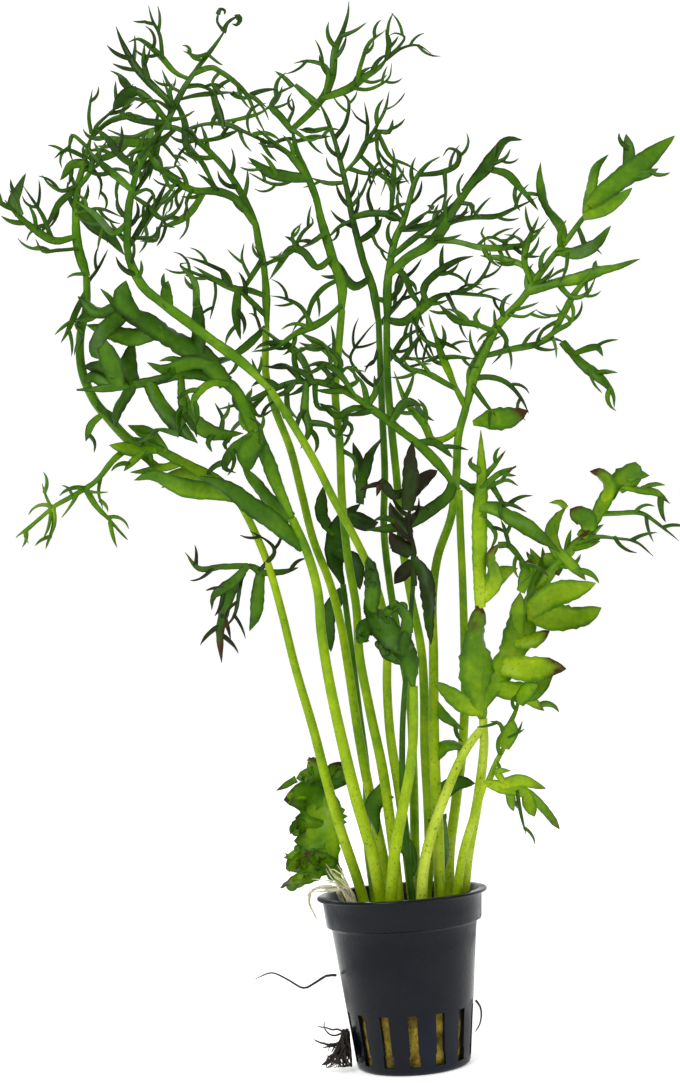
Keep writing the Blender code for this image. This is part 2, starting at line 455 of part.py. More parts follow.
        ("lobe", 5.4, "-11,140 -16,133 -16,122"),
    ]},
    "rim_leaf": {"depth": "46,2 60,5 92,6", "limbs": [
        ("short_stalk", 2.6, "-14,46 -17,52 -20,58"),
        ("blade", 13.0, "-20,58 -22,66 -22,75 -20,84"),
        ("lobe", 8.0, "-20,78 -26,80 -33,79"),
        ("lobe", 6.4, "-20,82 -26,85 -29,85"),
        ("lobe", 5.0, "-20.5,81 -23,87 -25,91"),
        ("lobe", 5.6, "-19.5,80 -17,87 -15,89"),
        ("lobe", 5.0, "-22,70 -28,71 -32,69"),
        ("lobe", 5.4, "-21,65 -28,64 -34,62"),
        ("lobe", 6.0, "-20.4,62 -27,60.5 -34,59"),
        ("lobe", 5.6, "-20,60 -28,56 -36,53.5"),
        ("lobe", 5.0, "-17,56 -22,60 -28,63"),
        ("fine", 1.4, "-29,84 -33,83 -35,82"),
        ("lobe", 4.0, "-20,82 -15,85 -12,87"),
    ]},
    "brown_lobe": {"depth": "180,-5.8 200,-5.8", "limbs": [
        ("brown", 7.0, "31.8,188.2 35,188.7 38,189 44,189.3 49,191"),
    ]},
    "root_clump": {"depth": "0,-4 60,-4", "limbs": [
        ("root", 2.4, "-19.2,11 -20.5,8 -22.5,5 -24.5,2.6 -27,1.6"),
        ("root", 1.8, "-20.5,8 -20.2,5 -20.4,1.6"),
        ("root", 1.8, "-22.5,5 -22.2,3.2 -23,1.6"),
    ]},
    "left_root": {"depth": "0,-2 60,-2", "limbs": [
        ("root", 0.8, "-20.9,27 -24,27 -27.5,25.2 -31,24 -35.5,26.8 -40,29 -45,27.5"),
    ]},
    "loop_root": {"depth": "0,-3 60,-3", "limbs": [
        ("root", 0.7, "19.4,17 20.6,15 20.7,12.5 20,10 18.6,8"),
    ]},
    "rim_roots": {"depth": "0,-6 60,-6", "limbs": [
        ("root", 1.5, "-17,45.2 -18,49 -19.5,52 -22.5,53 -26,52.2 -28,50.4"),
        ("root", 0.8, "-27,51.4 -27.6,48.5 -26.6,45.8 -25.6,43.5"),
    ]},
}

COLOURS = {
    "pot": ((0.02, 0.022, 0.026), 0.35),
    "wool": ((0.33, 0.24, 0.04), 0.95),
    "crown": ((0.05, 0.035, 0.012), 0.9),
    "root": ((0.06, 0.03, 0.015), 0.9),
    "pale_root": ((0.6, 0.55, 0.4), 0.8),
    "leaf": ((0.09, 0.24, 0.01), 0.45),
    "brown": ((0.12, 0.08, 0.012), 0.6),
}
FINISHES = {
    "brown_left_leaf": "brown", "dark_leaflets": "brown", "brown_lobe": "brown", "root_clump": "root",
    "left_root": "root", "loop_root": "root", "rim_roots": "pale_root",
}


def start_empty():
    """Removes what the scene holds."""
    for old in list(bpy.context.scene.objects):
        bpy.data.objects.remove(old, do_unlink=True)


def collection(name):
    """A new collection of that name in the scene."""
    made = bpy.data.collections.new(name)
    bpy.context.scene.collection.children.link(made)
    return made


def material(name):
    """The part's plain material of that name."""
    found = bpy.data.materials.get(name)
    if found:
        return found
    colour, roughness = COLOURS[name]
    made = bpy.data.materials.new(name)
    made.use_nodes = True
    shader = made.node_tree.nodes["Principled BSDF"]
    shader.inputs["Base Color"].default_value = (*colour, 1.0)
    shader.inputs["Roughness"].default_value = roughness
    made.diffuse_color = (*colour, 1.0)
    return made


def add_object(name, mesh, into, finish=None):
    """An object of that mesh in that collection."""
    made = bpy.data.objects.new(name, mesh)
    into.objects.link(made)
    if finish:
        mesh.materials.append(material(finish))
    return made


def turned(name, profile, steps, into, finish):
    """A solid of revolution from (radius, height) points in mm, run from the top of the axis down its outer side."""
    mesh = bpy.data.meshes.new(name)
    points = [(r * MM, 0.0, z * MM) for r, z in profile]
    mesh.from_pydata(points, [(i, i + 1) for i in range(len(points) - 1)], [])
    made = add_object(name, mesh, into, finish)
    screw = made.modifiers.new("turn", "SCREW")
    screw.steps = steps
    screw.render_steps = steps
    screw.use_merge_vertices = True
    screw.merge_threshold = 0.00002
    screw.use_normal_calculate = True
    return made


def wall_radius(z):
    """The outer radius of the pot's tapered wall at a height, in mm."""
    step = POT_HEIGHT - BAND_HEIGHT
    return BASE_RADIUS + (STEP_RADIUS - BASE_RADIUS) * z / step


def pot(into, cutters):
    """The moulded net pot: floor, tapered wall, step, band and lip, with slots cut through the wall."""
    step = POT_HEIGHT - BAND_HEIGHT
    lip = POT_HEIGHT - LIP_THICKNESS
    inner = BAND_RADIUS + 0.6 - WALL
    profile = [
        (0.0, FLOOR), (wall_radius(FLOOR) - WALL, FLOOR), (wall_radius(step) - WALL, step - 0.4),
        (inner - 0.6, step + 0.6), (inner, POT_HEIGHT), (LIP_RADIUS, POT_HEIGHT), (LIP_RADIUS, lip),
        (BAND_RADIUS + 0.6, lip), (BAND_RADIUS, step), (STEP_RADIUS, step - 0.8), (BASE_RADIUS, 0.8),
        (BASE_RADIUS - 0.9, 0.0), (0.0, 0.0),
    ]
    made = turned("net_pot", profile, POT_STEPS, into, "pot")
    mesh = bpy.data.meshes.new("slot_cutters")
    shape = bmesh.new()
    for turn in range(SLOTS):
        angle = math.tau * (turn + 0.5) / SLOTS
        box = bmesh.ops.create_cube(shape, size=1.0)["verts"]
        for vert in box:
            x = (vert.co.x * 9.0 + 19.0) * MM
            y = vert.co.y * SLOT_WIDTH * MM
            z = (SLOT_LOW + (vert.co.z + 0.5) * (SLOT_HIGH - SLOT_LOW)) * MM
            vert.co = (x * math.cos(angle) - y * math.sin(angle), x * math.sin(angle) + y * math.cos(angle), z)
    shape.to_mesh(mesh)
    shape.free()
    cutter = add_object("slot_cutters", mesh, cutters)
    cutter.hide_render = True
    cutter.display_type = "WIRE"
    cut = made.modifiers.new("slots", "BOOLEAN")
    cut.operation = "DIFFERENCE"
    cut.object = cutter


def filling(into):
    """The mineral wool plug and the crown on top of it, each clear of the pot's wall."""
    low = FLOOR + FIT_GAP
    foot = wall_radius(low) - WALL - FIT_GAP
    head = wall_radius(WOOL_TOP) - WALL - FIT_GAP
    turned("wool_plug", [(0, WOOL_TOP), (head - 0.8, WOOL_TOP), (head, WOOL_TOP - 0.8), (foot, low), (0, low)],
           28, into, "wool")
    low = WOOL_TOP + FIT_GAP
    turned("crown", [(0, CROWN_TOP), (CROWN_RADIUS, CROWN_TOP), (CROWN_RADIUS, low + 1), (CROWN_RADIUS - 1, low),
                     (0, low)], 20, into, "crown")


def numbers(text):
    """Pairs of numbers from words such as 3,4 5,6."""
    return [tuple(float(value) for value in pair.split(",")) for pair in text.split()]


def depth_at(height, knots):
    """The depth of a frond at a height, both in mm."""
    return float(np.interp(height, [k[0] for k in knots], [k[1] for k in knots]))


def seen(x, z, y):
    """The point in mm at depth y that is seen from the front at x, z in the plane of the pot's axis."""
    k = 1 - y / SIGHT[1]
    return np.array([SIGHT[0] + (x - SIGHT[0]) * k, y, SIGHT[2] + (z - SIGHT[2]) * k])


def nearest(x, z, limbs):
    """The nearest point x, z, y to a place on the limbs laid so far, and which limb it is on."""
    best = None
    for number, limb in enumerate(limbs):
        for a, b in zip(limb, limb[1:]):
            run = (b - a)[:2]
            t = float(np.clip(np.dot(np.array([x, z]) - a[:2], run) / max(1e-9, run @ run), 0, 1))
            point = a + (b - a) * t
            away = math.hypot(point[0] - x, point[1] - z)
            if best is None or away < best[0]:
                best = (away, point, number)
    return best[1], best[2]


def clear_of_fork(point, main, from_end):
    """The point, moved along the main limb to be clear of the gap at the fork."""
    if from_end:
        main = main[::-1]
    start = main[0]
    if np.linalg.norm(point - start) >= FORK_CLEAR:
        return point
    for place in main[1:]:
        away = np.linalg.norm(place - start)
        if away >= FORK_CLEAR:
            return start + (place - start) * FORK_CLEAR / away
    return point


def fewer(points):
    """The points without those that lie within SLACK of a straight run."""
    first, last = points[0], points[-1]
    run = last - first
    away = []
    for point in points[1:-1]:
        t = np.clip(np.dot(point - first, run) / max(1e-9, run @ run), 0, 1)
        away.append(np.linalg.norm(first + run * t - point))
    if not away or max(away) < SLACK:
        return [first, last]
    turn = away.index(max(away)) + 1
    return fewer(points[:turn + 1])[:-1] + fewer(points[turn:])


def plain_path(points):
    """A path with few points, and at least one between its ends."""
    short = fewer(points)
    if len(short) == 2:
        short.insert(1, points[len(points) // 2] if len(points) > 2 else (points[0] + points[1]) / 2)
    return short


def limb_paths(plan):
    """The kind, width, x, z, y points and node of each limb. A side limb grows from the nearest one before it."""
    knots = numbers(plan["depth"])
    laid = []
    paths = []
    forked = len(plan["limbs"]) > 1 and plan["limbs"][0][0] == "stalk"
    for index, (kind, width, text) in enumerate(plan["limbs"]):
        flat = numbers(text)
        if index == 0 or (forked and index == 1):
            points = [np.array([x, z, depth_at(z, knots)]) for x, z in flat]
            group = index
            if index:
                along = laid[0][-1] - laid[0][-2]
                along = along / np.linalg.norm(along)
                start = laid[0][-1]
                points = [start + along * FIT_GAP, start + along * FORK_RUN] + points[1:]
        else:
            root, parent = nearest(*flat[0], laid)
            group = paths[parent][3]
            if forked and parent < 2:
                root = clear_of_fork(root, laid[parent], parent == 0)
            root = root + np.array([0.0, 0.0, ROOT_SHIFT * (index % 4 - 1.5)])
            points = [root]
            run = 0.0
            side = 1 if index % 2 else -1
            for (x0, z0), (x, z) in zip(flat, flat[1:]):
                run += math.hypot(x - x0, z - z0)
                drift = side * min(DRIFT_MOST, DRIFT_RATE * run)
                drift += 0.5 * (depth_at(z, knots) - depth_at(flat[0][1], knots))
                if kind == "second_stalk":
                    drift = SECOND_STALK_DRIFT * min(1, run / 20)
                points.append(np.array([x, z, root[2] + drift]))
        if forked and index == 1:
            points = points[:1] + plain_path(points[1:])
        else:
            points = plain_path(points)
        laid.append(points)
        paths.append((kind, width, points, group))
    return paths


def taper(kind, t):
    """How wide a limb is, of its full width, at t from its root to its tip."""
    if kind in ("stalk", "short_stalk"):
        return 1.15 - 0.35 * t
    if kind == "second_stalk":
        return 0.8 + 0.3 * t
    if kind in ("rachis", "sprig", "curl", "root"):
        return 1.0 - 0.55 * t
    return 0.45 + 0.55 * math.sin(math.pi * min(1.0, 0.18 + 0.72 * t))


def limb_solid(shape, kind, width, points, roll):
    """A closed loft along a limb. A stalk is round, and a leaf's section is a flat diamond."""
    round_one = kind in ("stalk", "short_stalk", "second_stalk", "root")
    sides = LEAF_SIDES if width > NARROW else NARROW_SIDES
    if round_one:
        sides = STALK_SIDES
    centres = [seen(*p) for p in points]
    foot = None
    if kind in ("stalk", "short_stalk") and points[0][1] < POT_HEIGHT:
        foot = 0
    if kind == "second_stalk":
        foot = len(centres) - 1
    if foot is not None:
        centres[foot][2] = CROWN_TOP + FIT_GAP
    rings = []
    for index, centre in enumerate(centres):
        before = centres[max(0, index - 1)]
        after = centres[min(len(centres) - 1, index + 1)]
        along = (after - before) / np.linalg.norm(after - before)
        across = np.cross(along, (0.0, 1.0, 0.0))
        across = across / max(1e-6, np.linalg.norm(across))
        out = np.cross(across, along)
        across, out = across * math.cos(roll) + out * math.sin(roll), out * math.cos(roll) - across * math.sin(roll)
        half = 0.5 * width * taper(kind, index / (len(centres) - 1))
        thick = half if round_one else 0.5 * min(LEAF_THICKNESS, 2 * half)
        ring = []
        for corner in range(sides):
            angle = math.tau * corner / sides
            place = centre + across * half * math.cos(angle) + out * thick * math.sin(angle)
            if index == foot:
                place[2] = CROWN_TOP + FIT_GAP
            ring.append(shape.verts.new(place * MM))
        rings.append(ring)
    for low, high in zip(rings, rings[1:]):
        for corner in range(sides):
            following = (corner + 1) % sides
            shape.faces.new((low[corner], low[following], high[following], high[corner]))
    shape.faces.new(rings[0][::-1])
    shape.faces.new(rings[-1])


def frond_mesh(name, limbs):
    """One mesh of the closed lofts of these limbs."""
    shape = bmesh.new()
    for index, limb in enumerate(limbs):
        limb_solid(shape, *limb, ROLL * (index % 5 - 2))
    bmesh.ops.recalc_face_normals(shape, faces=shape.faces)
    mesh = bpy.data.meshes.new(name)
    shape.to_mesh(mesh)
    shape.free()
    return mesh


def grown(name, limbs, into, cutters, finish):
    """One grown piece: its first limb, joined with all the others by a union."""
    made = add_object(name, frond_mesh(name, limbs[:1]), into, finish)
    if len(limbs) == 1:
        return made
    others = add_object(name + "_limbs", frond_mesh(name + "_limbs", limbs[1:]), cutters)
    others.hide_render = True
    others.display_type = "WIRE"
    union = made.modifiers.new("limbs", "BOOLEAN")
    union.operation = "UNION"
    union.object = others
    union.use_self = True
    return made


def frond(name, plan, into, cutters):
    """A frond as a stalk and what grows above its main fork, with the fine threads left out."""
    limbs = [limb for limb in limb_paths(plan) if limb[0] != "fine"]
    lower = [limb[:3] for limb in limbs if limb[3] == 0]
    upper = [limb[:3] for limb in limbs if limb[3] == 1]
    finish = FINISHES.get(name, "leaf")
    if upper:
        grown(name + "_stalk", lower, into, cutters, finish)
        grown(name, upper, into, cutters, finish)
    else:
        grown(name, lower, into, cutters, finish)


def build():
    start_empty()
    parts = collection("potted_water_sprite")
    cutters = collection("cutters")
    pot(parts, cutters)
    filling(parts)
    for name, plan in FRONDS.items():
        frond(name, plan, parts, cutters)


build()
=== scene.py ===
"""The looks of the potted water sprite: its fronds and roots, the pot, the mineral wool and the crown."""
import json
import math

import bpy
import numpy as np
from mathutils import Matrix, Vector, noise


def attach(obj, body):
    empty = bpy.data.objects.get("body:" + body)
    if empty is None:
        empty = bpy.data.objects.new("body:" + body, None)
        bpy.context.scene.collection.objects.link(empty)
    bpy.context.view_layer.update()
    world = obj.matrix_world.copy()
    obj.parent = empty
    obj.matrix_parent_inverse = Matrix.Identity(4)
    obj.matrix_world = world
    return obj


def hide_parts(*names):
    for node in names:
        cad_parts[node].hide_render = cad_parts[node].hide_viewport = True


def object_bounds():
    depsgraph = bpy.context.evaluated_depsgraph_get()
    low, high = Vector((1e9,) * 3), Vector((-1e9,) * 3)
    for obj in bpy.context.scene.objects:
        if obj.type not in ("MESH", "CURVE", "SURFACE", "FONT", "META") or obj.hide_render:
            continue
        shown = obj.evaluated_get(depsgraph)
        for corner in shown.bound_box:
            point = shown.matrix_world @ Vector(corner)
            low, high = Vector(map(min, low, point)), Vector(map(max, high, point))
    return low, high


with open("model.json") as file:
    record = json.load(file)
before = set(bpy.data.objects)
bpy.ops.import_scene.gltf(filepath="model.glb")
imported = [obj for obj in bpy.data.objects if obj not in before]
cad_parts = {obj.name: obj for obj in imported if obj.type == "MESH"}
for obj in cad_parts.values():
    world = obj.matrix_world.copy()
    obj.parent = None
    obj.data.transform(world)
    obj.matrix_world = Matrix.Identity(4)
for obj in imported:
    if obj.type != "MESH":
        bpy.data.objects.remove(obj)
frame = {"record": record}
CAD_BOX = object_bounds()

MM = 0.001

# The pot and its filling, in mm, as in the solids
POT_HEIGHT = 50.0
BASE_RADIUS = 16.6
STEP_RADIUS = 21.6
BAND_RADIUS = 23.0
LIP_RADIUS = 25.2
BAND_HEIGHT = 8.6
LIP_THICKNESS = 1.0
WALL = 1.0
FLOOR = 1.2
SLOTS = 14
SLOT_WIDTH = 2.9
SLOT_LOW = 2.4
SLOT_HIGH = 17.0
STEPS_A_SLOT = 24
WOOL_FOOT = 1.6
WOOL_TOP = 40.0
WOOL_GAP = 0.4
CROWN_FOOT = 40.3
CROWN_TOP = 44.0
CROWN_RADIUS = 20.0

# The camera: the plant is laid out in mm in the plane of the pot's axis, as it is seen from SIGHT
SIGHT = (-11.0, -500.0, 106.0)
TARGET = (-11.0, 0.0, 155.0)
LEAN = 4.0
VIEW_HEIGHT = 327.2
VIEW_DISTANCE = 502.4
SENSOR = 24.0

# How side limbs leave the plane of their parent, and the room that limbs keep to the solids' box, in mm
DRIFT_RATE = 0.36
DRIFT_MOST = 9.0
SECOND_STALK_DRIFT = -2.5
PATH_ROOM = (0.3, 1.0, 0.3)
PIECE_ROOM = 0.12
ROOTED = 0.6

# How fine the limbs' meshes are: mm along a limb, and corners round it
STEP = 1.3
STALK_SIDES = 10
LEAF_SIDES = 8

# Leaves, in mm: those narrower than THREAD are round, and small lobes are drawn fuller than stated
THREAD = 1.0
LEAF_THICKNESS = 0.42
THINNEST = 0.09
SMALL_LOBE = 2.5
BIG_LOBE = 5.5
SMALL_FULLNESS = 1.22
BIG_FULLNESS = 0.96

# How leaves roll, in radians, and how their edges wave, fold and frill, as shares of their half width
ROLL = 1.1
TWIST = 1.2
SWAY = 0.22
EDGE_WAVE = 0.06
FRILL = 0.10
FOLD_LEAST = 0.10
FOLD_SPREAD = 0.35
CREASE = 0.35
MIDRIB = 0.45
STALK_RIBS = 4
RIB_HEIGHT = 0.035

# Side threads grow on narrow limbs longer than THREADED_LEAST, one every THREAD_SPACING, and ruffles on
# crinkled leaves, all in mm
THREADED_LEAST = 8.0
THREADED_WIDEST = 3.1
THREAD_SPACING = 11
THREAD_LONGEST = 9.0
RUFFLES = 5
RUFFLE_RUN = 2.2
RUFFLE_WIDTH = 2.6

# Keys of the two tangles of fine roots, and how many roots each has
CLUMP_KEY = 7
CLUMP_ROOTS = 46
RIM_KEY = 5
RIM_ROOTS = 22

ROUND = ("stalk", "short_stalk", "second_stalk", "root")
CRINKLED = ("rim_leaf", "fiddlehead")

# Each frond: its depth at some heights, as height,depth. Then its limbs, each with its kind, its width and
# its x,z points as they are seen from the front, all in mm. A stalk comes first and the rachis after it, and
# each other limb starts on those before it.
FRONDS = {
    "left_low_frond": """
depth 46,-3 100,-9 176,-22 300,-25
stalk 2.7 -11,46 -13,55 -17,70 -20,84 -23,100 -27,118 -30,135 -33,149 -37,161 -41,170
rachis 4.2 -41,170 -46,175 -53,180 -61,185 -68,189 -73.6,191.3
lobe 4.6 -42,171 -50,173 -58,175 -66,179 -72,178
lobe 2 -57,182 -64,181 -68,184 -72,188
lobe 3.2 -65,187 -72,187.7 -79,189.3
lobe 3 -62,186 -67,192 -73,195
lobe 1.5 -68,188 -72,184 -75,181
lobe 2.6 -48,177 -56,179 -63,179
sprig 1.4 -70,189.6 -77.5,185 -83,179 -87,176.5 -92,174 -97,171.5 -103,167 -109,163
sprig 1.4 -87,176.5 -84,171 -80,166 -75,160
sprig 1.2 -97,171.5 -97,166 -100,159
fine 0.7 -82,180 -83,175 -82,170
fine 0.6 -98,172 -99,175 -100,179
fine 0.6 -91,174.5 -92,177 -94,178
fine 0.6 -86,176 -83,175 -80,175
fine 0.7 -103,167 -106,164 -105,161""",
    "far_left_frond": """
depth 190,-22.8 215,-28 290,-38
stalk 2.6 -69,188.6 -73,190.6 -79,198 -83,204 -86,213 -86,223 -83.5,233 -83,242
rachis 2.6 -83,242 -85,251 -85.5,260 -84.5,269 -82,278 -79,287
fine 0.9 -79,287 -79.5,293 -78,301
lobe 1.7 -79,286 -73,291 -66,292 -60,290
lobe 1.6 -78,287 -77,290 -72,294 -68,299 -65,302
fine 0.9 -81,283 -85,287 -86,282 -85,278
fine 1.1 -82,280 -87,282.5 -91,280
lobe 2.8 -82,278 -86,277.5 -89.5,273
fine 1 -84,271 -89,269.5 -93,272 -95,275
lobe 1.9 -84.5,270 -90,266 -94,260 -97,256
lobe 2 -85.5,255 -92,254 -98,258 -103,263 -107,268
lobe 3 -103,262 -104,267 -102,271 -100,276
lobe 1.2 -104,264 -108,267 -111,271
fine 1.1 -93,254 -95,261 -97,265 -101,272
fine 1.2 -86,251 -91,251 -96,251 -98,255
lobe 3.2 -85.5,264 -80,258 -75,254 -71,248
fine 1 -85,262 -78,263 -71,260
fine 0.9 -81,279 -77,272 -78,266
lobe 1.8 -83.5,270 -80,276 -80,284
lobe 1.5 -79,280 -74,275 -70,270 -68,268
lobe 1.5 -83.5,238 -87,231 -90,225 -92,222
fine 1 -84,240 -79,245 -76,250
lobe 1.6 -83,204 -80,200 -76,198
lobe 1.9 -80,199 -84,196 -86,191
fine 1 -84,231 -87,227 -85,224 -87,219
fine 0.9 -83,243 -87,243 -89,242
fine 1 -80,263 -77,257 -76,252""",
    "arching_frond": """
depth 46,-1 100,-4 140,-14 200,-42 330,-60
stalk 2.6 3,47 2.5,60 1.5,78 0,95 0,110 1,124 0,136 -3,147 -7,157 -12,168 -17,180 -23,192 -29,203
rachis 2.8 -29,203 -36,211 -44,218 -52,225 -60,232 -66,238 -69.5,247 -69.5,257 -68,266 -65,275
-60,283 -55,290 -51,297 -47,303 -42,309 -38,314 -35,318
sprig 1.4 -36,316.5 -34.5,319.5 -31.5,321.6
fine 1.2 -32.2,321.2 -31,321.3 -30.8,320 -32,318.7 -33.3,319.2
curl 1 -36,317 -37.8,320 -37.4,323.2
fine 1 -37.5,322.6 -36.6,324 -35.4,323.4 -35.6,322.3
fine 0.9 -41,310 -45,309.5 -49,311.5
fine 0.8 -43,308 -46,309 -48,312
fine 0.7 -41,309.5 -38.5,307 -37,306
lobe 1.4 -47,302 -52,305 -56,310 -60,314.5 -63,316.5 -66,315.5
fine 0.9 -55,310 -56,317 -58,322 -59,327
lobe 1.8 -53,294 -60,302 -65,309 -68,316 -69.5,321
fine 1.3 -60,303 -61.5,309 -61,315
lobe 1.8 -56,290 -62,298 -68,302 -70,306
lobe 3.2 -64,300 -67,299 -72,294
lobe 1.8 -52,296 -44,297 -36,297 -29,296 -24,291
lobe 2 -41,297 -39,290 -38,285
fine 1.1 -49,300 -44,300 -40,297 -39.5,293
fine 1.2 -46,304 -41,305.5 -38,304 -31,298 -28,291 -25,284
fine 0.8 -38,304 -40.5,301 -40,297
lobe 1.3 -68,267 -63,263 -59,259 -54,261 -51,267
lobe 1.5 -69.5,250 -65,257 -60,264 -56,271
fine 0.9 -66,252 -62,253 -59,257 -57,261
lobe 1.7 -69,258 -74,255 -79,261 -85,266
lobe 1.8 -65,275 -70,279 -74,285 -78,289
lobe 2.2 -60,283 -68,283.5 -75,286
lobe 1.6 -62,280 -58,274 -52,270
fine 0.9 -60,285 -56,281 -52,275
lobe 1.8 -56,289 -62,290 -68,291
lobe 1.7 -52,295 -50,288 -50,281 -47,275
fine 1 -67,267 -63,268 -61,266 -61,262
lobe 1.8 -67,268 -71,272 -77,278 -80,282
lobe 1.3 -57,287 -63,281 -68,274
lobe 1.6 -58,286 -60,278 -64,270
fine 1 -68,240 -66,243 -66,246
lobe 3 -58,231 -59,235 -58,239
fine 1.2 -54,293 -58,296 -62,296 -65,294
fine 1 -50,298 -54,301 -56,306""",
    "top_left_frond": """
depth 46,5 176,8 330,6
stalk 2.7 -3,47 -5,62 -7.5,80 -9.5,97 -11,115 -12.5,130 -15,143 -19,156 -21.5,170 -24,184 -28,197
-30,208 -29,222
rachis 2.4 -29,222 -28.5,236 -29.5,248 -31,257 -35,267 -40,275 -46,282 -53,287 -60,287 -67,285 -74,288
lobe 2.2 -30.5,255 -35,262.5 -41,266 -48,267 -54,270 -61,276
lobe 1.9 -45,267 -50,260 -55,257 -60,256
fine 1.1 -60,256 -61,252 -66,252
lobe 1.5 -41,266 -45,275 -49,282 -49,287
lobe 1.5 -54,269 -60,262 -66,253
fine 1.1 -52,268 -57,263 -59,257
fine 1 -49,267 -51,263 -50,259
lobe 1.6 -47,282 -40,283 -33,285
lobe 2 -51,286 -43,288 -36,287 -29,283 -22,279 -15,272
lobe 1.4 -39,288 -32,288.5 -26,290 -20,295
lobe 2.2 -60,287 -63,280 -67,273
lobe 1.8 -58,287 -60,279 -62,271
lobe 1.8 -66,285 -71,281 -77,279 -81,281
fine 1.3 -55,287 -54,296 -56,303
lobe 2.2 -62,277 -58,274 -52,275
fine 1 -58,257 -59,253 -61,250
lobe 1.8 -28.5,232 -33,234 -38,235 -43,238 -50,243
lobe 2.4 -39,235.3 -40.6,240 -42,242
fine 1 -41,241 -47,244 -52,246
fine 1.1 -42,237 -48,240 -53,242.5 -54,244 -51,244
lobe 1.4 -35.3,234.6 -32,239 -29,244 -31,248
fine 0.9 -33,238 -35,244 -34,249
fine 1 -44,238 -44,233 -46,226
lobe 2.6 -29,222 -36,216 -44,212 -52,213
lobe 1.8 -29.5,226 -33,231 -37,235
lobe 2.4 -37,234 -38,226 -37,219
fine 1 -30,220 -32,226 -34,227""",
    "tall_middle_frond": """
depth 46,-6 176,-4 330,-6
stalk 2.7 -1,47 -1.5,62 -3,85 -5.5,103 -7.5,120 -7.5,135 -9,150 -9.5,168 -9,185 -9.3,200 -7.5,213
-5.5,226
rachis 3.2 -5.5,226 -5,234 -7,242 -9.5,253 -11,262 -13.5,270 -16,278 -17,285
lobe 3 -13,268 -19,269 -25,271 -31,276
lobe 1.2 -16,267 -23,267 -31,271
lobe 1.9 -17,283 -20,288 -23,292 -20,296 -15,298
fine 1.2 -16,298 -18.5,301 -21,303
lobe 1.6 -15,298 -11,294 -7,291
lobe 2 -17,284 -12,288 -8,292 -5,296 -3,301 -2,308 1,314 3,320 3.5,324
lobe 1.2 -6,294 -4.5,301 -6,304 -11,305.5 -15,305
lobe 2.2 -7,293 1,295.5 7,299 12,302 15,306
lobe 1.5 14,304 15,309 14.3,314
fine 0.8 14,304 19,307.5 24,308 28,305
fine 0.8 14.5,305 18,308 20,311 17,312.5 15,311.5
fine 0.8 14.5,312 15.5,316 17,319
lobe 1.5 4,297 6,304 9,310 14,313.5
fine 1 2,295.5 8,295 14,298 15.5,303
lobe 2.2 -12,268 -17,275 -22,280 -28,285
lobe 1.5 -16.3,280 -11,281 -5,281
fine 1.1 -17,284 -12,280 -7,281.5
fine 1.1 -18,286 -16,291 -16.5,294
lobe 2 -6.5,243 -12,240 -16,245 -20,246 -24,241 -27,237
fine 1.1 -19,246 -16,251 -12.5,254 -13,256
fine 0.9 -18.5,246 -19,251 -16,254
lobe 1.4 -5,236 -11,233 -15,228 -17,220
lobe 2.2 -5.5,228 -12,223 -20,220 -27,216 -34,215
fine 1.2 -15,222 -18,228 -23,231 -27,232
lobe 2 -10,250 -14,247 -18,246
lobe 2 -8.5,210 -13,216 -19,220
fine 1.2 -8.5,205 -5,208 -2,208
fine 1.1 -9,193 -5,190 -6,187 -9,188
fine 1.1 -9,183 -5,180 -4,174
fine 5.6 -2.4,80 -7,75 -6,67
fine 4.4 -2,66 3,62 4,54""",
    "upper_middle_frond": """
depth 46,9 176,26 330,44
stalk 2.5 4,47 5,65 6,85 6.5,105 4.5,125 3,142 2.5,158 4,175 4.5,192 5,208 5.5,222
rachis 2.4 5.5,222 4.5,232 2,242 0,253 -1.5,265 -3.5,277 -6,287 -8,292
lobe 2 -2,269 3,274 6,279 9,283 12,288 14,294
fine 1.1 5.5,278 6.5,284 6,291
lobe 1.5 9,281 13,281 14.5,285
lobe 1.7 9.5,281 12,275 15,270 18,264
fine 1 9,281 9,273 11,267 9,261
lobe 1.4 4,274 8,269 13,265 18,265
fine 1.2 -1,271 5,268.5 11,269 12,266
lobe 1.3 -1.5,266 -7,266 -12,268
lobe 2.4 -0.5,255 6,256 12,255 16,251
lobe 1.5 0,254 -5,252 -9,248
fine 1.1 0,258 3,262 5,266 7,270
lobe 2 1,247 6,250 9,254
lobe 2.8 3.5,235 -1,233 -5,237 -9,241
lobe 1.8 5,229 9,228 13,232 14,238
lobe 1.4 -5,284 -11,283 -15,284
fine 1.2 -4,280 0,285 1,291 -3,294
lobe 1.6 13,258 13,264 14,272 13.5,276
fine 1.1 6,255 5,262 8,268
fine 1 5,250 7,245 11,242
lobe 1.6 5.5,220 9,224 14,229 16,234
lobe 1.5 5,206 9,211 13,216 19,219
fine 1.1 4.5,200 0,204 -4,211 1,218 5,222
fine 1 4.5,214 3,209 0,208""",
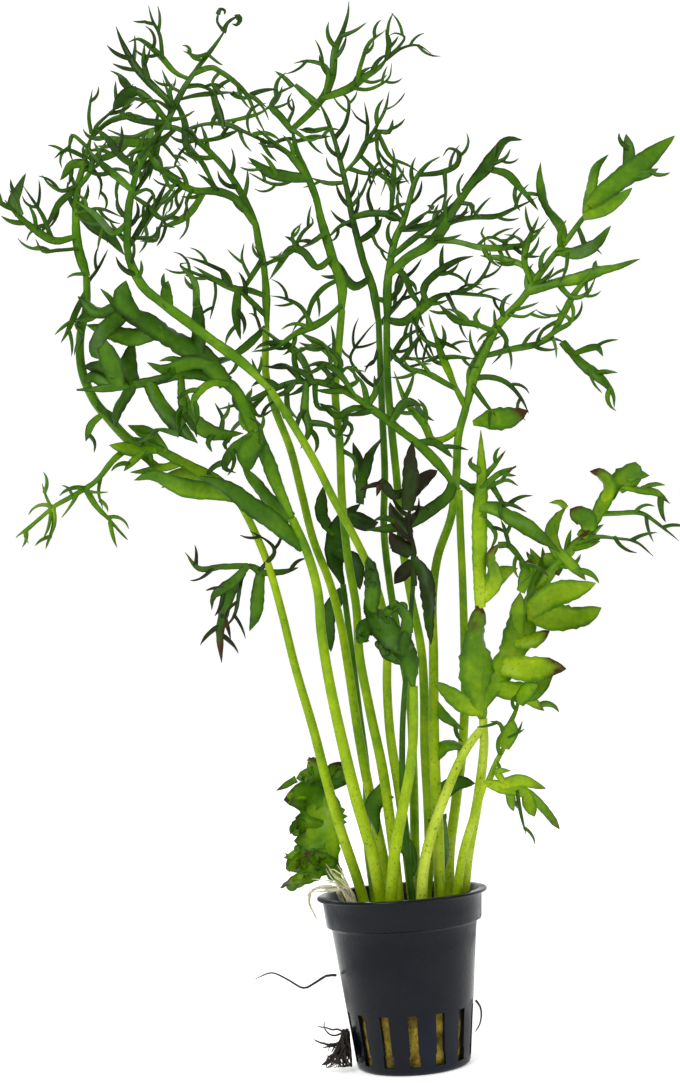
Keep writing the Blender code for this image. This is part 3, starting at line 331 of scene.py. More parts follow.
    "right_middle_frond": """
depth 46,3 176,14 330,22
stalk 2.7 7,47 9,60 9.7,75 10,92 11,108 11,122 9,138 7.5,155 7.5,172 7,190 7,206 8,222
rachis 2.6 8,222 9.5,236 12,246 15,252 18,260 20.5,266 24,270 28,272
lobe 3 9.5,236 16,241 22,244 27,249 31,255 36,261 41,266
lobe 4.2 35,260 41,266 45,271 49,275.5 54,275.5
fine 1.1 43,268 48,270 50,273
fine 1 44,269 45,272 46,275
lobe 1.7 24,245 30,245 38,242.5 46,242 53,243 60,250
lobe 1.5 25,247 30,251 37,252 44,252 50,254 57,257
lobe 2.6 42,267 48,265 52,260 57,253
lobe 1.5 22,266 28,267 33,269 34,273 31,274.5 29,272
fine 1.1 29,268 29,260 27,254
lobe 2 14,250 20,250 26,252 32,258
fine 1.1 16,251 20,253 25,256
fine 1.1 26,257 23,257
lobe 1.8 11,241 17,246 24,250 31,252
lobe 1.8 10,238 14,236 16,230 20,224
lobe 1.6 33,257 37,256 36,252
fine 1 37,242.5 41,245.5 45,244 50,240
fine 0.7 40,245 39,247 40,249
lobe 2.4 8,222 13,221 18,224 24,228 29,229
fine 1.1 28,229 34,230 38,233 41,238 41,243
fine 1 29,228 35,228 40,227 46,224
fine 1.2 27,228 30,222 36,217
fine 0.8 30,229 33,231 38,231
lobe 2 21,226 20,231 25,236 31,239 36,240
fine 0.9 25,236 31,234 35,229
lobe 1.5 7.5,214 11,209 15,213 19,218
lobe 1.3 9,211 14,206 20,205
fine 1 17,225 17,218 19,211
fine 1.1 15,223 19,216 22,208""",
    "tall_right_frond": """
depth 46,-9 140,-10 200,-2 330,2
stalk 2.9 11,46 12,65 12.5,85 13.5,103 14.7,120 15.5,135 18,148 23,160 25.5,172 27,184 30,193
rachis 2.8 30,193 33,202 37,210 41,217 46,222 51,227 55,232 60,238 65,243 70,249 74,254
lobe 6.4 73,253 77,256.5 82,260 88,264 95,269 101,273.5
lobe 3 85,262 86.5,268 86,275
lobe 2.6 84,260 90,262 95,263.5
lobe 3.2 72,251 73.5,258 75.5,265 80,269
lobe 3.2 71,249.5 77,251.5 82,254.5 86.5,258
lobe 3.4 65,242 63.5,248 60,254 58.5,261 59,268
lobe 4 62,239 68,238.5 74,241 79,246.5
lobe 1.2 69,247 70,241 67,238
lobe 3.2 52,227.5 60,230 68,231 75,233 81,234 87,235.5
lobe 1.6 73,232.5 73.5,236
fine 1.2 61,228 65,225 70,226 73,231
lobe 1.6 72,232 66,226 62,220 58,214 53,211
fine 0.9 65,239 64,234 62,230
lobe 1.6 39,207 45,210 52,211 58,212.5 62,211
lobe 3 61,211.5 66,205 71,200 75,195 75,190
lobe 1.9 65,208 71,209 73,206
fine 1.3 55,212 60,215 64,217.5 61,221 60,223
lobe 1.8 55,231 51,236 45,238.5 38,240
lobe 1.5 53,230 51.5,237 53,243 57,251
fine 1.2 51.5,238 51.5,243 49,245.5 46,246
lobe 2.4 41,216 35,219 29,221 24,226
fine 1.3 33,202 38,202 43,200 47,195 49,190
fine 1.2 33,200 36,194 39,190
lobe 2.2 30,193 27,200 24,209 22,217 21,223
lobe 1.5 27,199 20,204 14,206.5 12,210
lobe 1.5 31,198 32,205 36,211 40,217
fine 1.1 24,209 28,209 34,208
fine 1.1 26,216 28,212 30,210
fine 1 24,210 20,208.5 18,208
fine 1.2 42,217 44,213 42,209 39,206
fine 0.8 45,221 50,220 54,222
fine 0.8 41,217 41,221 41,223
fine 0.9 40,216 37,215 35,213
fine 1.1 35,217 35,221 37,224
lobe 1.8 28,187 23,184 19,184 17,189 12,196 9,206
lobe 1.8 25,172 29,169 33,164
fine 4.6 12.6,90 17,92 22,90.5
fine 4.6 12.2,77 18,80.5 24,80
fine 2.6 13.5,104 17,100 22,96
fine 4.6 11.8,71 13.5,63 13.2,55""",
    "centre_left_frond": """
depth 46,-11 120,-20 176,-33 330,-38
stalk 3.2 -6,46 -8,62 -11.5,78 -14.5,95 -17,112 -18.5,128 -18.7,140 -21,152 -25,163
rachis 4.6 -25,163 -28,171 -31,180 -34,189 -37,197 -41,205 -48,208.5 -56,209.5 -66,208 -76,207 -88,207
lobe 5 -33,188 -37,184 -37.5,178
lobe 1.8 -35,190 -41,186 -44.5,180 -41,178
lobe 4.4 -22,154 -29,161 -36,167 -43,173 -52,178
lobe 3.4 -25,163 -31,168 -36,175 -39,180
lobe 1.5 -41,206 -47,206 -52,202 -53,196
lobe 4 -70,207 -71.5,213 -69.5,221
lobe 5 -75,207 -77,215 -80,224
lobe 2.6 -74,211 -80,214 -86,214
lobe 3.6 -66,207 -62,200 -57,193 -52,188
lobe 3.4 -71,206 -76,201 -77,195
lobe 5.6 -41,207 -48,214 -56,220 -64,226 -72,231 -79,238
lobe 3.8 -61,223 -69,222 -76,224 -84,227
lobe 4.6 -68,228 -72,234 -71,240
lobe 3 -74,232 -80,231 -86,236
lobe 3.6 -50,216 -50,224 -49.5,233
fine 1.4 -49.5,230 -50,238 -54,243
lobe 2.6 -46,212 -52,213 -60,211.5 -66,214
lobe 3.2 -77,208 -82,211 -86,209
lobe 1.6 -56,210 -56,202 -56,196 -58,190
lobe 3.4 -57,203 -54,197 -51,193 -45,190 -38,190
fine 1.1 -45,190 -44,195 -46,200
fine 1.1 -42,190 -44,187 -43,185
fine 1.1 -47,191 -49,188 -48,185
fine 1.2 -60,192 -64,193 -67,193
lobe 3.8 -72,229 -77,226 -82,219 -80,216
lobe 2 -34,190 -38,194 -38,199 -35,203
fine 1.2 -32,184 -33,192 -36,195""",
    "diagonal_frond": """
depth 46,1 110,2 150,-14 205,-15
stalk 2.7 14,47 15,60 18,75 21,90 23,105 24,120 25,140 25.5,155 26,168
rachis 2.8 26,168 21,176 14,184 6,191 -2,198 -10,203 -20,205 -28,203 -36,200 -45,198
lobe 2.8 27,172 22,166 14,161 5,158 -3,158
lobe 1.6 14,183 20,183 25,178
lobe 2 7,190 12,196 17,194.5
lobe 1.8 2,194 -4,195 -9,193 -14,197
lobe 1.4 -3,198 -8,207 -13,210 -19,209
lobe 1.6 -16,205 -19,212 -24,217 -30,217
lobe 1.7 -18,204 -19,196 -18,190 -21,184
fine 1.3 -15,204 -15,197 -12,195
fine 1.2 -18,192 -13,191 -9,189
fine 1.1 -20,206 -21,213 -17,215 -13,217
fine 1.2 -24,204 -24,197 -21,193
lobe 1.4 -30,202 -35,198 -38,194 -36,190
fine 1.1 -12,204 -7,209 -10,214 -17,218
fine 1 -36,200 -33,195 -28,197
fine 1.2 -27,203 -32,207 -34,213
fine 1.1 -7,201 -2,204 -5,208
fine 1.3 0,196 3,200 3,205
fine 1.1 -19,205 -24,210 -29,210""",
    "broad_frond": """
depth 46,-4 99,-14 150,-24 330,-30
stalk 3 18,47 20.5,60 24.5,75 27.5,90 28,99
blade 9.5 28,99 28,108 28,118 29,127 30,134
lobe 3.2 30,132 30.5,145 31.5,158 33,170 34,186
blade 8 29,102 33,111 38,119 42,127 46,134 49,141 50,149
lobe 4.4 28,101 22,104 14,111
second_stalk 3 27.6,96.5 24,92.5 19.5,86 14,75 10,66 7,56 5,42
lobe 6 43,130 50,133.5 57,135.5 65,137
lobe 7 44,129 51,127.5 59,127 66,129.5
lobe 6.4 36,113 42,113 48,113 54,112
lobe 5 35,106 40,106 45,107 50,111
lobe 5 40,121 45,122 50,123.5
lobe 2 38,104 43,103 46.5,100
lobe 2.8 46,135 51,140 56,145 60,149 65,154
lobe 4.2 62,151 67,157 70,162 74,166 78,168
lobe 8 74,165 78,168.5 80,173
lobe 2.8 77,168 80,169.5 84,168.5
lobe 3.4 70,161 71,166 69,170 66,171
lobe 2 75,165 81,164.5 86,163 89.5,159.5
lobe 5 64,153 64,156 61,158.5 59,160
lobe 3.2 55,145 53,152 55,157 58,160.5
lobe 1.8 58,160 56,162 53,162.5
fine 1 69,157 74,157.5 81,157 88,151 91,148
fine 1 62,148 67,151 74,150 79,148 83,144
lobe 3 60,148 64,150 68,151
lobe 3.6 31.5,163 38,161 45,156 51,151 55,147
lobe 2.2 54,148 58,143 62,138
lobe 4 49,146 53,144 54,140
lobe 2.6 47,136 48,143 46,149
lobe 4 31,134 35,140 34,147 37,151
lobe 4.6 33,134 34,140 38,142 42,143
lobe 3.6 38,125 41,131 42,136
lobe 3 42,139 45,143 46,146
fine 1.1 36,151 40,150 44,144 45,141 42,138
fine 1.2 33,171 37,175 41,179
fine 1.3 33,168 38,172 44,174
fine 1.1 34,167 40,170 44,168
fine 1 36,169 38,165 40,161
fine 1.4 32.5,163 37,163 42,162.5 46,160
fine 1.2 33,173 30,176 31,178
fine 1 33,160 36,154 34,149
fine 0.9 41,152 39,155 38,158""",
    "low_right_leaf": """
depth 46,-8.5 62,-13 80,-24 110,-30
short_stalk 2.4 16,47 19,60 24,73 27,80
rachis 4 27,80 33,78 39,76 44,71 48,65
lobe 3.2 31,79 38,80 45,77
lobe 2.4 34,77.6 34.5,74 35,71
lobe 3.4 39,76 39.6,73 41,69
fine 0.9 36,76 37,70 38,64
lobe 1.8 33,79 31,83 35,83
sprig 1.6 28,80 31,86 34,91 35.2,96.5
lobe 4.4 33,90 35.5,94 37,98
sprig 1.5 35.2,96 38,101 39,105
lobe 5 38,103 41,106 45,108
fine 1.2 34,92 33,97 30,98
fine 0.8 35,93 38,94 40,95""",
    "brown_left_leaf": """
depth 46,-3 100,-9 176,-22 300,-25
rachis 2.2 -35.4,147.3 -37.5,149 -40,150
lobe 1.8 -39,150 -47,150 -54,150 -58,155
lobe 3 -39,150 -44,145 -50,141 -51,137
lobe 2.8 -41,148 -46,140 -49,131 -49,121
fine 1.2 -41,147 -43,139 -45,134 -49,130
lobe 3.6 -35.6,147 -36.8,140 -38,134 -40,130
fine 1.2 -35.5,148 -31,153 -33,157 -38,160
fine 1.6 -33,147 -29,147 -24,148""",
    "fiddlehead": """
depth 46,-15.5 110,-28 150,-32
stalk 3 -3.5,47 -1.5,60 1.5,72 5,85 7,97 8,110
blade 5.6 8,110 8,116 7,122 7.3,128.5
sprig 3 7.2,126.5 7.4,131 5,134.3 1.7,133.6 0.4,130.8 2.2,128.8
lobe 7 6,120 2,126 -2,131 -5,137
lobe 5 -2,131 -6,127 -5,124
lobe 4 5,117 1,121 -1,125
lobe 4.6 -3,133 -2.5,143 -3,150""",
    "dark_leaflets": """
depth 46,-10 90,-12 140,-24 190,-28
stalk 1.8 3,47 2.5,62 2.5,80 4,100 7,120 10,140
rachis 2.2 10,140 10.5,150 10,160 11,172
lobe 4.4 10.4,163 12,175 13,184
lobe 3.4 10.6,166.8 16,172.4 20,174.5
lobe 2.4 10.8,169 6,168 3,172 1,168
lobe 4.2 10.1,156 7,161 5,166
lobe 5.2 10.2,150 7,153 4,157
lobe 4 10.3,147 7,144 4.4,141
lobe 4.2 10.5,148 14,142 14,134 14,122""",
    "dark_back_leaf": """
depth 46,12 142,16 190,16
stalk 2.4 -8,47 -9,65 -8,85 -9,105 -10,125 -11,142
blade 6 -11,142 -13,150 -12,158 -8,163 -4,166
lobe 5.4 -8,163 -3,160 1,160
lobe 4.6 -12,157 -16,163 -15,172
lobe 4 -4,166 -3,173 0,180 4,186
lobe 3.4 -5,168 -3,176 -5,185
lobe 5 -12,152 -7,148 -6,140
lobe 5.4 -11,140 -16,133 -16,122""",
    "rim_leaf": """
depth 46,2 60,5 92,6
short_stalk 2.6 -14,46 -17,52 -20,58
blade 13 -20,58 -22,66 -22,75 -20,84
lobe 8 -20,78 -26,80 -33,79
lobe 6.4 -20,82 -26,85 -29,85
lobe 5 -20.5,81 -23,87 -25,91
lobe 5.6 -19.5,80 -17,87 -15,89
lobe 5 -22,70 -28,71 -32,69
lobe 5.4 -21,65 -28,64 -34,62
lobe 6 -20.4,62 -27,60.5 -34,59
lobe 5.6 -20,60 -28,56 -36,53.5
lobe 5 -17,56 -22,60 -28,63
fine 1.4 -29,84 -33,83 -35,82
lobe 4 -20,82 -15,85 -12,87""",
    "brown_lobe": """
depth 180,-5.8 200,-5.8
brown 7 31.8,188.2 35,188.7 38,189 44,189.3 49,191""",
    "root_clump": """
depth 0,-4 60,-4
root 2.4 -19.2,11 -20.5,8 -22.5,5 -24.5,2.6 -27,1.6
root 1.8 -20.5,8 -20.2,5 -20.4,1.6
root 1.8 -22.5,5 -22.2,3.2 -23,1.6""",
    "left_root": """
depth 0,-2 60,-2
root 0.8 -20.9,27 -24,27 -27.5,25.2 -31,24 -35.5,26.8 -40,29 -45,27.5""",
    "loop_root": """
depth 0,-3 60,-3
root 0.7 19.4,17 20.6,15 20.7,12.5 20,10 18.6,8""",
    "rim_roots": """
depth 0,-6 60,-6
root 1.5 -17,45.2 -18,49 -19.5,52 -22.5,53 -26,52.2 -28,50.4
root 0.8 -27,51.4 -27.6,48.5 -26.6,45.8 -25.6,43.5""",
}

# Each frond's tones, from 0, nearly black, over dark green 0.3 and mid green 0.55 to yellow-green 0.85 and
# pale 1: of its stalk's foot and top, its broad limbs and its threads. Then how wavy and burnt its lobes
# are.
LOOKS = {
    "left_low_frond": (0.80, 0.76, 0.66, 0.54, 0.5, 0.0),
    "far_left_frond": (0.60, 0.55, 0.47, 0.40, 0.4, 0.0),
    "arching_frond": (0.82, 0.70, 0.44, 0.38, 0.4, 0.0),
    "top_left_frond": (0.84, 0.66, 0.46, 0.38, 0.4, 0.0),
    "tall_middle_frond": (0.84, 0.62, 0.50, 0.42, 0.4, 0.0),
    "upper_middle_frond": (0.78, 0.50, 0.42, 0.36, 0.4, 0.0),
    "right_middle_frond": (0.84, 0.55, 0.46, 0.38, 0.4, 0.0),
    "tall_right_frond": (0.86, 0.60, 0.54, 0.44, 0.5, 0.0),
    "centre_left_frond": (0.86, 0.60, 0.47, 0.42, 0.7, 0.0),
    "diagonal_frond": (0.84, 0.60, 0.44, 0.38, 0.5, 0.0),
    "broad_frond": (0.92, 0.84, 0.71, 0.50, 0.8, 0.9),
    "low_right_leaf": (0.84, 0.78, 0.68, 0.44, 0.6, 0.4),
    "brown_left_leaf": (0.50, 0.40, 0.50, 0.24, 0.7, 0.9),
    "fiddlehead": (0.84, 0.48, 0.42, 0.36, 0.9, 0.0),
    "dark_leaflets": (0.45, 0.34, 0.22, 0.16, 1.0, 0.6),
    "dark_back_leaf": (0.62, 0.50, 0.40, 0.34, 0.7, 0.0),
    "rim_leaf": (0.80, 0.66, 0.60, 0.44, 1.6, 0.8),
    "brown_lobe": (0.62, 0.62, 0.66, 0.60, 1.2, 1.0),
    "root_clump": (0.08, 0.08, 0.08, 0.08, 0.3, 0.0),
    "left_root": (0.06, 0.06, 0.06, 0.06, 0.3, 0.0),
    "loop_root": (0.12, 0.12, 0.12, 0.12, 0.3, 0.0),
    "rim_roots": (0.9, 0.9, 0.9, 0.9, 0.3, 0.0),
}

# How much fuller these fronds' lobes are than their stated widths
FULLER = {"centre_left_frond": 1.3, "left_low_frond": 1.22, "diagonal_frond": 1.25, "broad_frond": 1.24,
          "tall_right_frond": 1.08, "rim_leaf": 1.2, "fiddlehead": 1.1}

# Matte natural surfaces: colours from the darkest patch to the palest, patch size in mm, roughness and depth
# of the relief in mm. The relief's grain is a sixth of the patch size.
NATURAL = {
    # Mineral wool: rock fibre, spun and pressed into a plug. The eye sees a dull, felted, browned yellow.
    "mineral_wool": ([(0.0, "#3A2A10"), (0.35, "#6E5E18"), (0.7, "#A08A28"), (1.0, "#B8A650")],
                     7.14, 0.95, 0.5),
    # Fern crown: grown, scaly and half rotted. The eye sees dark brown lumps, mossy green in places.
    "crown_tissue": ([(0.0, "#0E0905"), (0.5, "#2A1C0C"), (0.8, "#3C3A12"), (1.0, "#55601C")],
                     4.55, 0.85, 0.4),
    # Old fern root: grown and dried at the air. The eye sees thin, wiry, nearly black brown.
    "fern_root": ([(0.0, "#0C0604"), (0.6, "#1E120A"), (1.0, "#3A2614")], 2.5, 0.7, 0.15),
    # Young fern root: grown above the wool, with no bark yet. The eye sees smooth cream threads.
    "young_fern_root": ([(0.0, "#8C8468"), (0.5, "#D0CAA8"), (1.0, "#EAE6CE")], 2.5, 0.7, 0.1),
}


def points_of(words):
    """Pairs of numbers from words such as 3,4 and 5,6."""
    return [tuple(float(value) for value in word.split(",")) for word in words]


def key_of(name, size):
    """A whole number below that size that is always the same for the same name."""
    return sum(ord(letter) for letter in name) % size


def chance(*keys):
    """A number from 0 to 1 that is always the same for the same keys."""
    value = 0.0
    for place, key in enumerate(keys):
        value += (float(key) + 1.7) * (12.9898 + 41.233 * place)
    return (math.sin(value) * 43758.5453) % 1.0


def depth_at(height, knots):
    """The depth of a frond at a height, both in mm."""
    return float(np.interp(height, [knot[0] for knot in knots], [knot[1] for knot in knots]))


def seen(x, z, y):
    """The point in mm at depth y that is seen from the front at x, z in the plane of the pot's axis."""
    scale = 1 - y / SIGHT[1]
    return np.array([SIGHT[0] + (x - SIGHT[0]) * scale, y, SIGHT[2] + (z - SIGHT[2]) * scale])


def nearest(x, z, limbs):
    """The nearest point x, z, y to a place on the limbs laid so far."""
    best = None
    for limb in limbs:
        for a, b in zip(limb, limb[1:]):
            run = (b - a)[:2]
            t = float(np.clip(np.dot(np.array([x, z]) - a[:2], run) / max(1e-9, run @ run), 0, 1))
            point = a + (b - a) * t
            away = math.hypot(point[0] - x, point[1] - z)
            if best is None or away < best[0]:
                best = (away, point)
    return best[1]


def smooth(points):
    """A smooth curve through the points, with a point about every STEP mm."""
    ends = [2 * points[0] - points[1]] + list(points) + [2 * points[-1] - points[-2]]
    made = []
    for a, b, c, d in zip(ends, ends[1:], ends[2:], ends[3:]):
        count = max(2, round(np.linalg.norm(c - b) / STEP))
        for step in range(count):
            t = step / count
            made.append(0.5 * (2 * b + (c - a) * t + (2 * a - 5 * b + 4 * c - d) * t * t
                               + (3 * b - a - 3 * c + d) * t ** 3))
    made.append(points[-1])
    return made


def limb_paths(text):
    """The kind, width and x, z, y points of each limb. A side limb grows from the nearest one before it."""
    limbs = []
    for word in text.split():
        if word[0].isalpha():
            limbs.append([word])
        else:
            limbs[-1].append(word)
    knots = points_of(limbs.pop(0)[1:])
    laid = []
    paths = []
    forked = len(limbs) > 1 and limbs[0][0] == "stalk"
    for index, (kind, width, *words) in enumerate(limbs):
        flat = points_of(words)
        if index == 0 or (forked and index == 1):
            points = [np.array([x, z, depth_at(z, knots)]) for x, z in flat]
        else:
            root = nearest(*flat[0], laid)
            points = [root]
            run = 0.0
            side = 1 if index % 2 else -1
            for (x0, z0), (x, z) in zip(flat, flat[1:]):
                run += math.hypot(x - x0, z - z0)
                drift = side * min(DRIFT_MOST, DRIFT_RATE * run)
                drift += 0.5 * (depth_at(z, knots) - depth_at(flat[0][1], knots))
                if kind == "second_stalk":
                    drift = SECOND_STALK_DRIFT * min(1, run / 20)
                points.append(np.array([x, z, root[2] + drift]))
        points = smooth(points)
        laid.append(points)
        paths.append((kind, float(width), points))
    return paths


def spurs(paths, key, crinkled):
    """The side threads of the longer narrow limbs, or the short ruffles of a crinkled leaf."""
    made = []
    for number, (kind, width, points) in enumerate(paths):
        length = sum(float(np.linalg.norm(b - a)) for a, b in zip(points, points[1:]))
        if kind not in ("lobe", "fine", "sprig", "rachis") or length < THREADED_LEAST:
            continue
        if width > THREADED_WIDEST and not crinkled:
            continue
        count = RUFFLES if crinkled else round(length / THREAD_SPACING)
        for place in range(count):
            pick = [chance(key, number, place, draw) for draw in range(6)]
            start = 0.38 + 0.42 * (place + pick[1]) / count
            index = min(len(points) - 3, max(1, int(start * len(points))))
            along = points[index + 1] - points[index - 1]
            along = along / np.linalg.norm(along)
            turn = (0.6 + 0.5 * pick[2]) * (1 if (place + number) % 2 else -1)
            run = RUFFLE_RUN if crinkled else min(THREAD_LONGEST, 3.5 + (0.1 + 0.3 * pick[3]) * length)
            path = [points[index]]
            for step in range(4):
                bend = turn * (1 - (0.1 + 0.35 * pick[5]) * step)
                x = along[0] * math.cos(bend) - along[1] * math.sin(bend)
                z = along[0] * math.sin(bend) + along[1] * math.cos(bend)
                deep = 1.7 * (pick[4] - 0.5)
                path.append(path[-1] + np.array([x, z, along[2] + deep]) * run / 4)
            wide = RUFFLE_WIDTH if crinkled else min(1.2, max(0.75, 0.6 * width))
            made.append(("fine", wide, smooth(path)))
    return made


def taper(kind, width, t):
    """How wide a limb is, of its full width, at t from its root to its tip."""
    if kind in ("stalk", "short_stalk"):
        return 1.15 - 0.35 * t
    if kind == "second_stalk":
        return 0.8 + 0.3 * t
    if kind in ("rachis", "sprig", "curl", "root"):
        foot = min(1.0, min(1.0, 1.7 / width) + 3.5 * t) if kind == "rachis" else 1.0
        return (1.0 - 0.55 * t) * min(1.0, 0.25 + (1 - t) * 9) * foot
    tip = max(0.0, 1 - t ** 4) ** 0.8
    if kind == "fine":
        return (1.15 - 0.35 * t) * tip
    swell = 0.55 + 0.53 * math.sin(math.pi * min(1.0, 0.10 + 0.70 * t))
    if kind in ("blade", "brown"):
        swell = swell * min(1.0, 0.34 + 2.6 * t)
    return swell * tip


def round_ring(kind, half, run):
    """The (across, out) places in mm round a thread or a root, or round a stalk with its faint ribs."""
    sides = STALK_SIDES if kind in ROUND else LEAF_SIDES
    ring = []
    for corner in range(sides):
        angle = math.tau * corner / sides
        rib = 1.0
        if kind in ("stalk", "second_stalk"):
            rib += RIB_HEIGHT * math.sin(angle * STALK_RIBS + run * 0.05)
        ring.append((math.cos(angle) * half * rib, math.sin(angle) * half * rib))
    return ring


def leaf_ring(half, run, wavy, pick):
    """The (across, out) places in mm round a leaf: folded, creased in the middle, frilled at its edges."""
    fold = (FOLD_LEAST + FOLD_SPREAD * pick[6]) * (1 if pick[7] > 0.35 else -1)
    thick = min(0.5 * LEAF_THICKNESS, half * 0.8)
    ring = []
    for corner in range(LEAF_SIDES):
        angle = math.tau * corner / LEAF_SIDES
        wide = math.cos(angle)
        high = math.sin(angle)
        edge = abs(wide)
        lift = fold * half * edge * edge
        lift += FRILL * wavy * half * edge ** 3 * math.sin(run * 2.1 + 3 * (wide > 0) + 6 * pick[2])
        if edge < 0.2:
            lift -= thick * (CREASE if high > 0 else MIDRIB)
        ring.append((half * wide, thick * high + lift))
    return ring


def tone_at(kind, width, t, height, look, pick):
    """How light a limb is at t from its root to its tip, and at that height in mm."""
    foot_tone, top_tone, broad_tone, thread_tone, _, burnt = look
    if kind in ROUND:
        return foot_tone + (top_tone - foot_tone) * min(1.0, max(0.0, (height - 46) / 150))
    thread = float(np.clip((1.9 - width) / 0.9, 0, 1))
    tone = broad_tone + (thread_tone - broad_tone) * thread + (pick[3] - 0.5) * 0.14
    tone += 0.10 * (0.5 - t) * (1 - thread)
    tone -= 0.0024 * burnt * min(55.0, max(0.0, height - 125))
    if kind == "rachis":
        tone = top_tone + (tone - top_tone) * min(1.0, 0.2 + 1.3 * t)
    return tone


def burn_at(kind, t, edge, burnt, pick):
    """How brown a limb is, from 0 to 1: near the tip of a lobe and at its edges, and more on some lobes."""
    if kind in ROUND:
        return 0.0
    near_tip = max(0.0, t - 0.62) * 2.6 + 0.25 * edge - 0.25
    return min(1.0, burnt * max(0.0, near_tip) * (1.6 if pick[4] > 0.45 else 0.25))


def limb_mesh(name, number, limb, verts, faces, marks):
    """Adds one limb's closed loft to the points, the faces and the points' marks of its frond."""
    kind, width, points = limb
    look = LOOKS[name]
    wavy, burnt = look[4:]
    room = np.array(PATH_ROOM)
    centres = np.array([seen(*point) for point in points])
    centres = np.clip(centres, np.array(CAD_BOX[0]) / MM + room, np.array(CAD_BOX[1]) / MM - room)
    if kind in ("stalk", "short_stalk") and points[0][1] < POT_HEIGHT:
        centres[0][2] = CROWN_TOP - ROOTED
    if kind == "second_stalk":
        centres[-1][2] = CROWN_TOP - ROOTED
    pick = [chance(key_of(name, 97), number, place) for place in range(8)]
    is_round = kind in ROUND or width < THREAD
    first = len(verts)
    last = len(centres) - 1
    run = 0.0
    for index, centre in enumerate(centres):
        t = index / last
        if index:
            run += float(np.linalg.norm(centre - centres[index - 1]))
        along = centres[min(last, index + 1)] - centres[max(0, index - 1)]
        along = along / max(1e-9, np.linalg.norm(along))
        across = np.cross(along, (0.0, 1.0, 0.0))
        across = across / max(1e-6, np.linalg.norm(across))
        out = np.cross(across, along)
        half = 0.5 * width * taper(kind, width, t)
        if kind not in ROUND:
            half = half * float(np.interp(width, (SMALL_LOBE, BIG_LOBE), (SMALL_FULLNESS, BIG_FULLNESS)))
        if is_round:
            ring = round_ring(kind, max(THINNEST, half), run)
        else:
            roll = (pick[0] - 0.5) * ROLL + (pick[1] - 0.5) * TWIST * t
            roll += 0.2 * math.sin(run * 0.35 + 6 * pick[2])
            turned_out = out * math.cos(roll) - across * math.sin(roll)
            across = across * math.cos(roll) + out * math.sin(roll)
            out = turned_out
            half = half * (1 + EDGE_WAVE * wavy * math.sin(run * (1.1 + pick[3]) + 6 * pick[4]))
            centre = centre + out * SWAY * wavy * math.sin(run * 0.55 + 6 * pick[5]) * min(1, index / 4)
            ring = leaf_ring(max(THINNEST, half), run, wavy, pick)
        tone = tone_at(kind, width, t, centre[2], look, pick)
        for corner, (side, rise) in enumerate(ring):
            edge = abs(math.cos(math.tau * corner / len(ring)))
            verts.append(centre + across * side + out * rise)
            marks.append((tone, burn_at(kind, t, edge, burnt, pick), 0.5 if is_round else edge))
    sides = len(ring)
    for index in range(last):
        low = first + index * sides
        for corner in range(sides):
            following = (corner + 1) % sides
            faces.append((low + corner, low + following, low + sides + following, low + sides + corner))
    faces.append(tuple(first + corner for corner in reversed(range(sides))))
    faces.append(tuple(first + last * sides + corner for corner in range(sides)))


def add_piece(name, verts, faces, surface, nodes, marks=()):
    """A smooth mesh piece that rides on the part and stands for those nodes. Its points are in mm."""
    low = np.array(CAD_BOX[0]) + PIECE_ROOM * MM
    high = np.array(CAD_BOX[1]) - PIECE_ROOM * MM
    places = np.clip(np.array(verts, dtype=float) * MM, low, high)
    mesh = bpy.data.meshes.new(name)
    mesh.from_pydata([tuple(place) for place in places], [], faces)
    mesh.materials.append(surface)
    if marks:
        for place, label in enumerate(("tone", "burn", "edge")):
            layer = mesh.attributes.new(label, "FLOAT", "POINT")
            layer.data.foreach_set("value", [float(mark[place]) for mark in marks])
    mesh.polygons.foreach_set("use_smooth", [True] * len(mesh.polygons))
    mesh.set_sharp_from_angle(angle=math.radians(50))
    mesh.validate()
    made = bpy.data.objects.new(name, mesh)
    bpy.context.scene.collection.objects.link(made)
    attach(made, "root")
    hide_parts(*nodes)


def linear(text):
    """The linear colour of an sRGB hex colour."""
    made = []
    for start in (1, 3, 5):
        value = int(text[start:start + 2], 16) / 255
        made.append(value / 12.92 if value <= 0.04045 else ((value + 0.055) / 1.055) ** 2.4)
    return (*made, 1.0)


def feed(tree, node, inputs):
    """Sets a node's inputs, by name or place, to another node's output, a hex colour or a number."""
    for socket, value in inputs.items():
        if isinstance(value, bpy.types.NodeSocket):
            tree.links.new(value, node.inputs[socket])
        else:
            node.inputs[socket].default_value = linear(value) if isinstance(value, str) else value


def add(tree, kind, inputs, give=0, stops=(), **settings):
    """Adds a shader node with its inputs, a ramp's stops and its settings. Gives one of its outputs."""
    made = tree.nodes.new("ShaderNode" + kind)
    for name, value in settings.items():
        setattr(made, name, value)
    while stops and len(made.color_ramp.elements) < len(stops):
        made.color_ramp.elements.new(0.5)
    for place, (position, colour) in enumerate(stops):
        made.color_ramp.elements[place].position = position
        made.color_ramp.elements[place].color = linear(colour)
    feed(tree, made, inputs)
    return made.outputs[give]


def finish(name):
    """A new material with its node tree and its shader."""
    made = bpy.data.materials.new(name)
    made.use_nodes = True
    return made, made.node_tree, made.node_tree.nodes["Principled BSDF"]


def speckle(tree, size, low, high):
    """Patches of about that size in mm, cut to run from 0 to 1 between two levels of the noise."""
    place = add(tree, "TexCoord", {}, "Object")
    cloud = add(tree, "TexNoise", {"Vector": place, "Scale": 1 / (size * MM), "Detail": 4.0}, "Fac")
    return add(tree, "MapRange", {0: cloud, 1: low, 2: high, 3: 0.0, 4: 1.0})


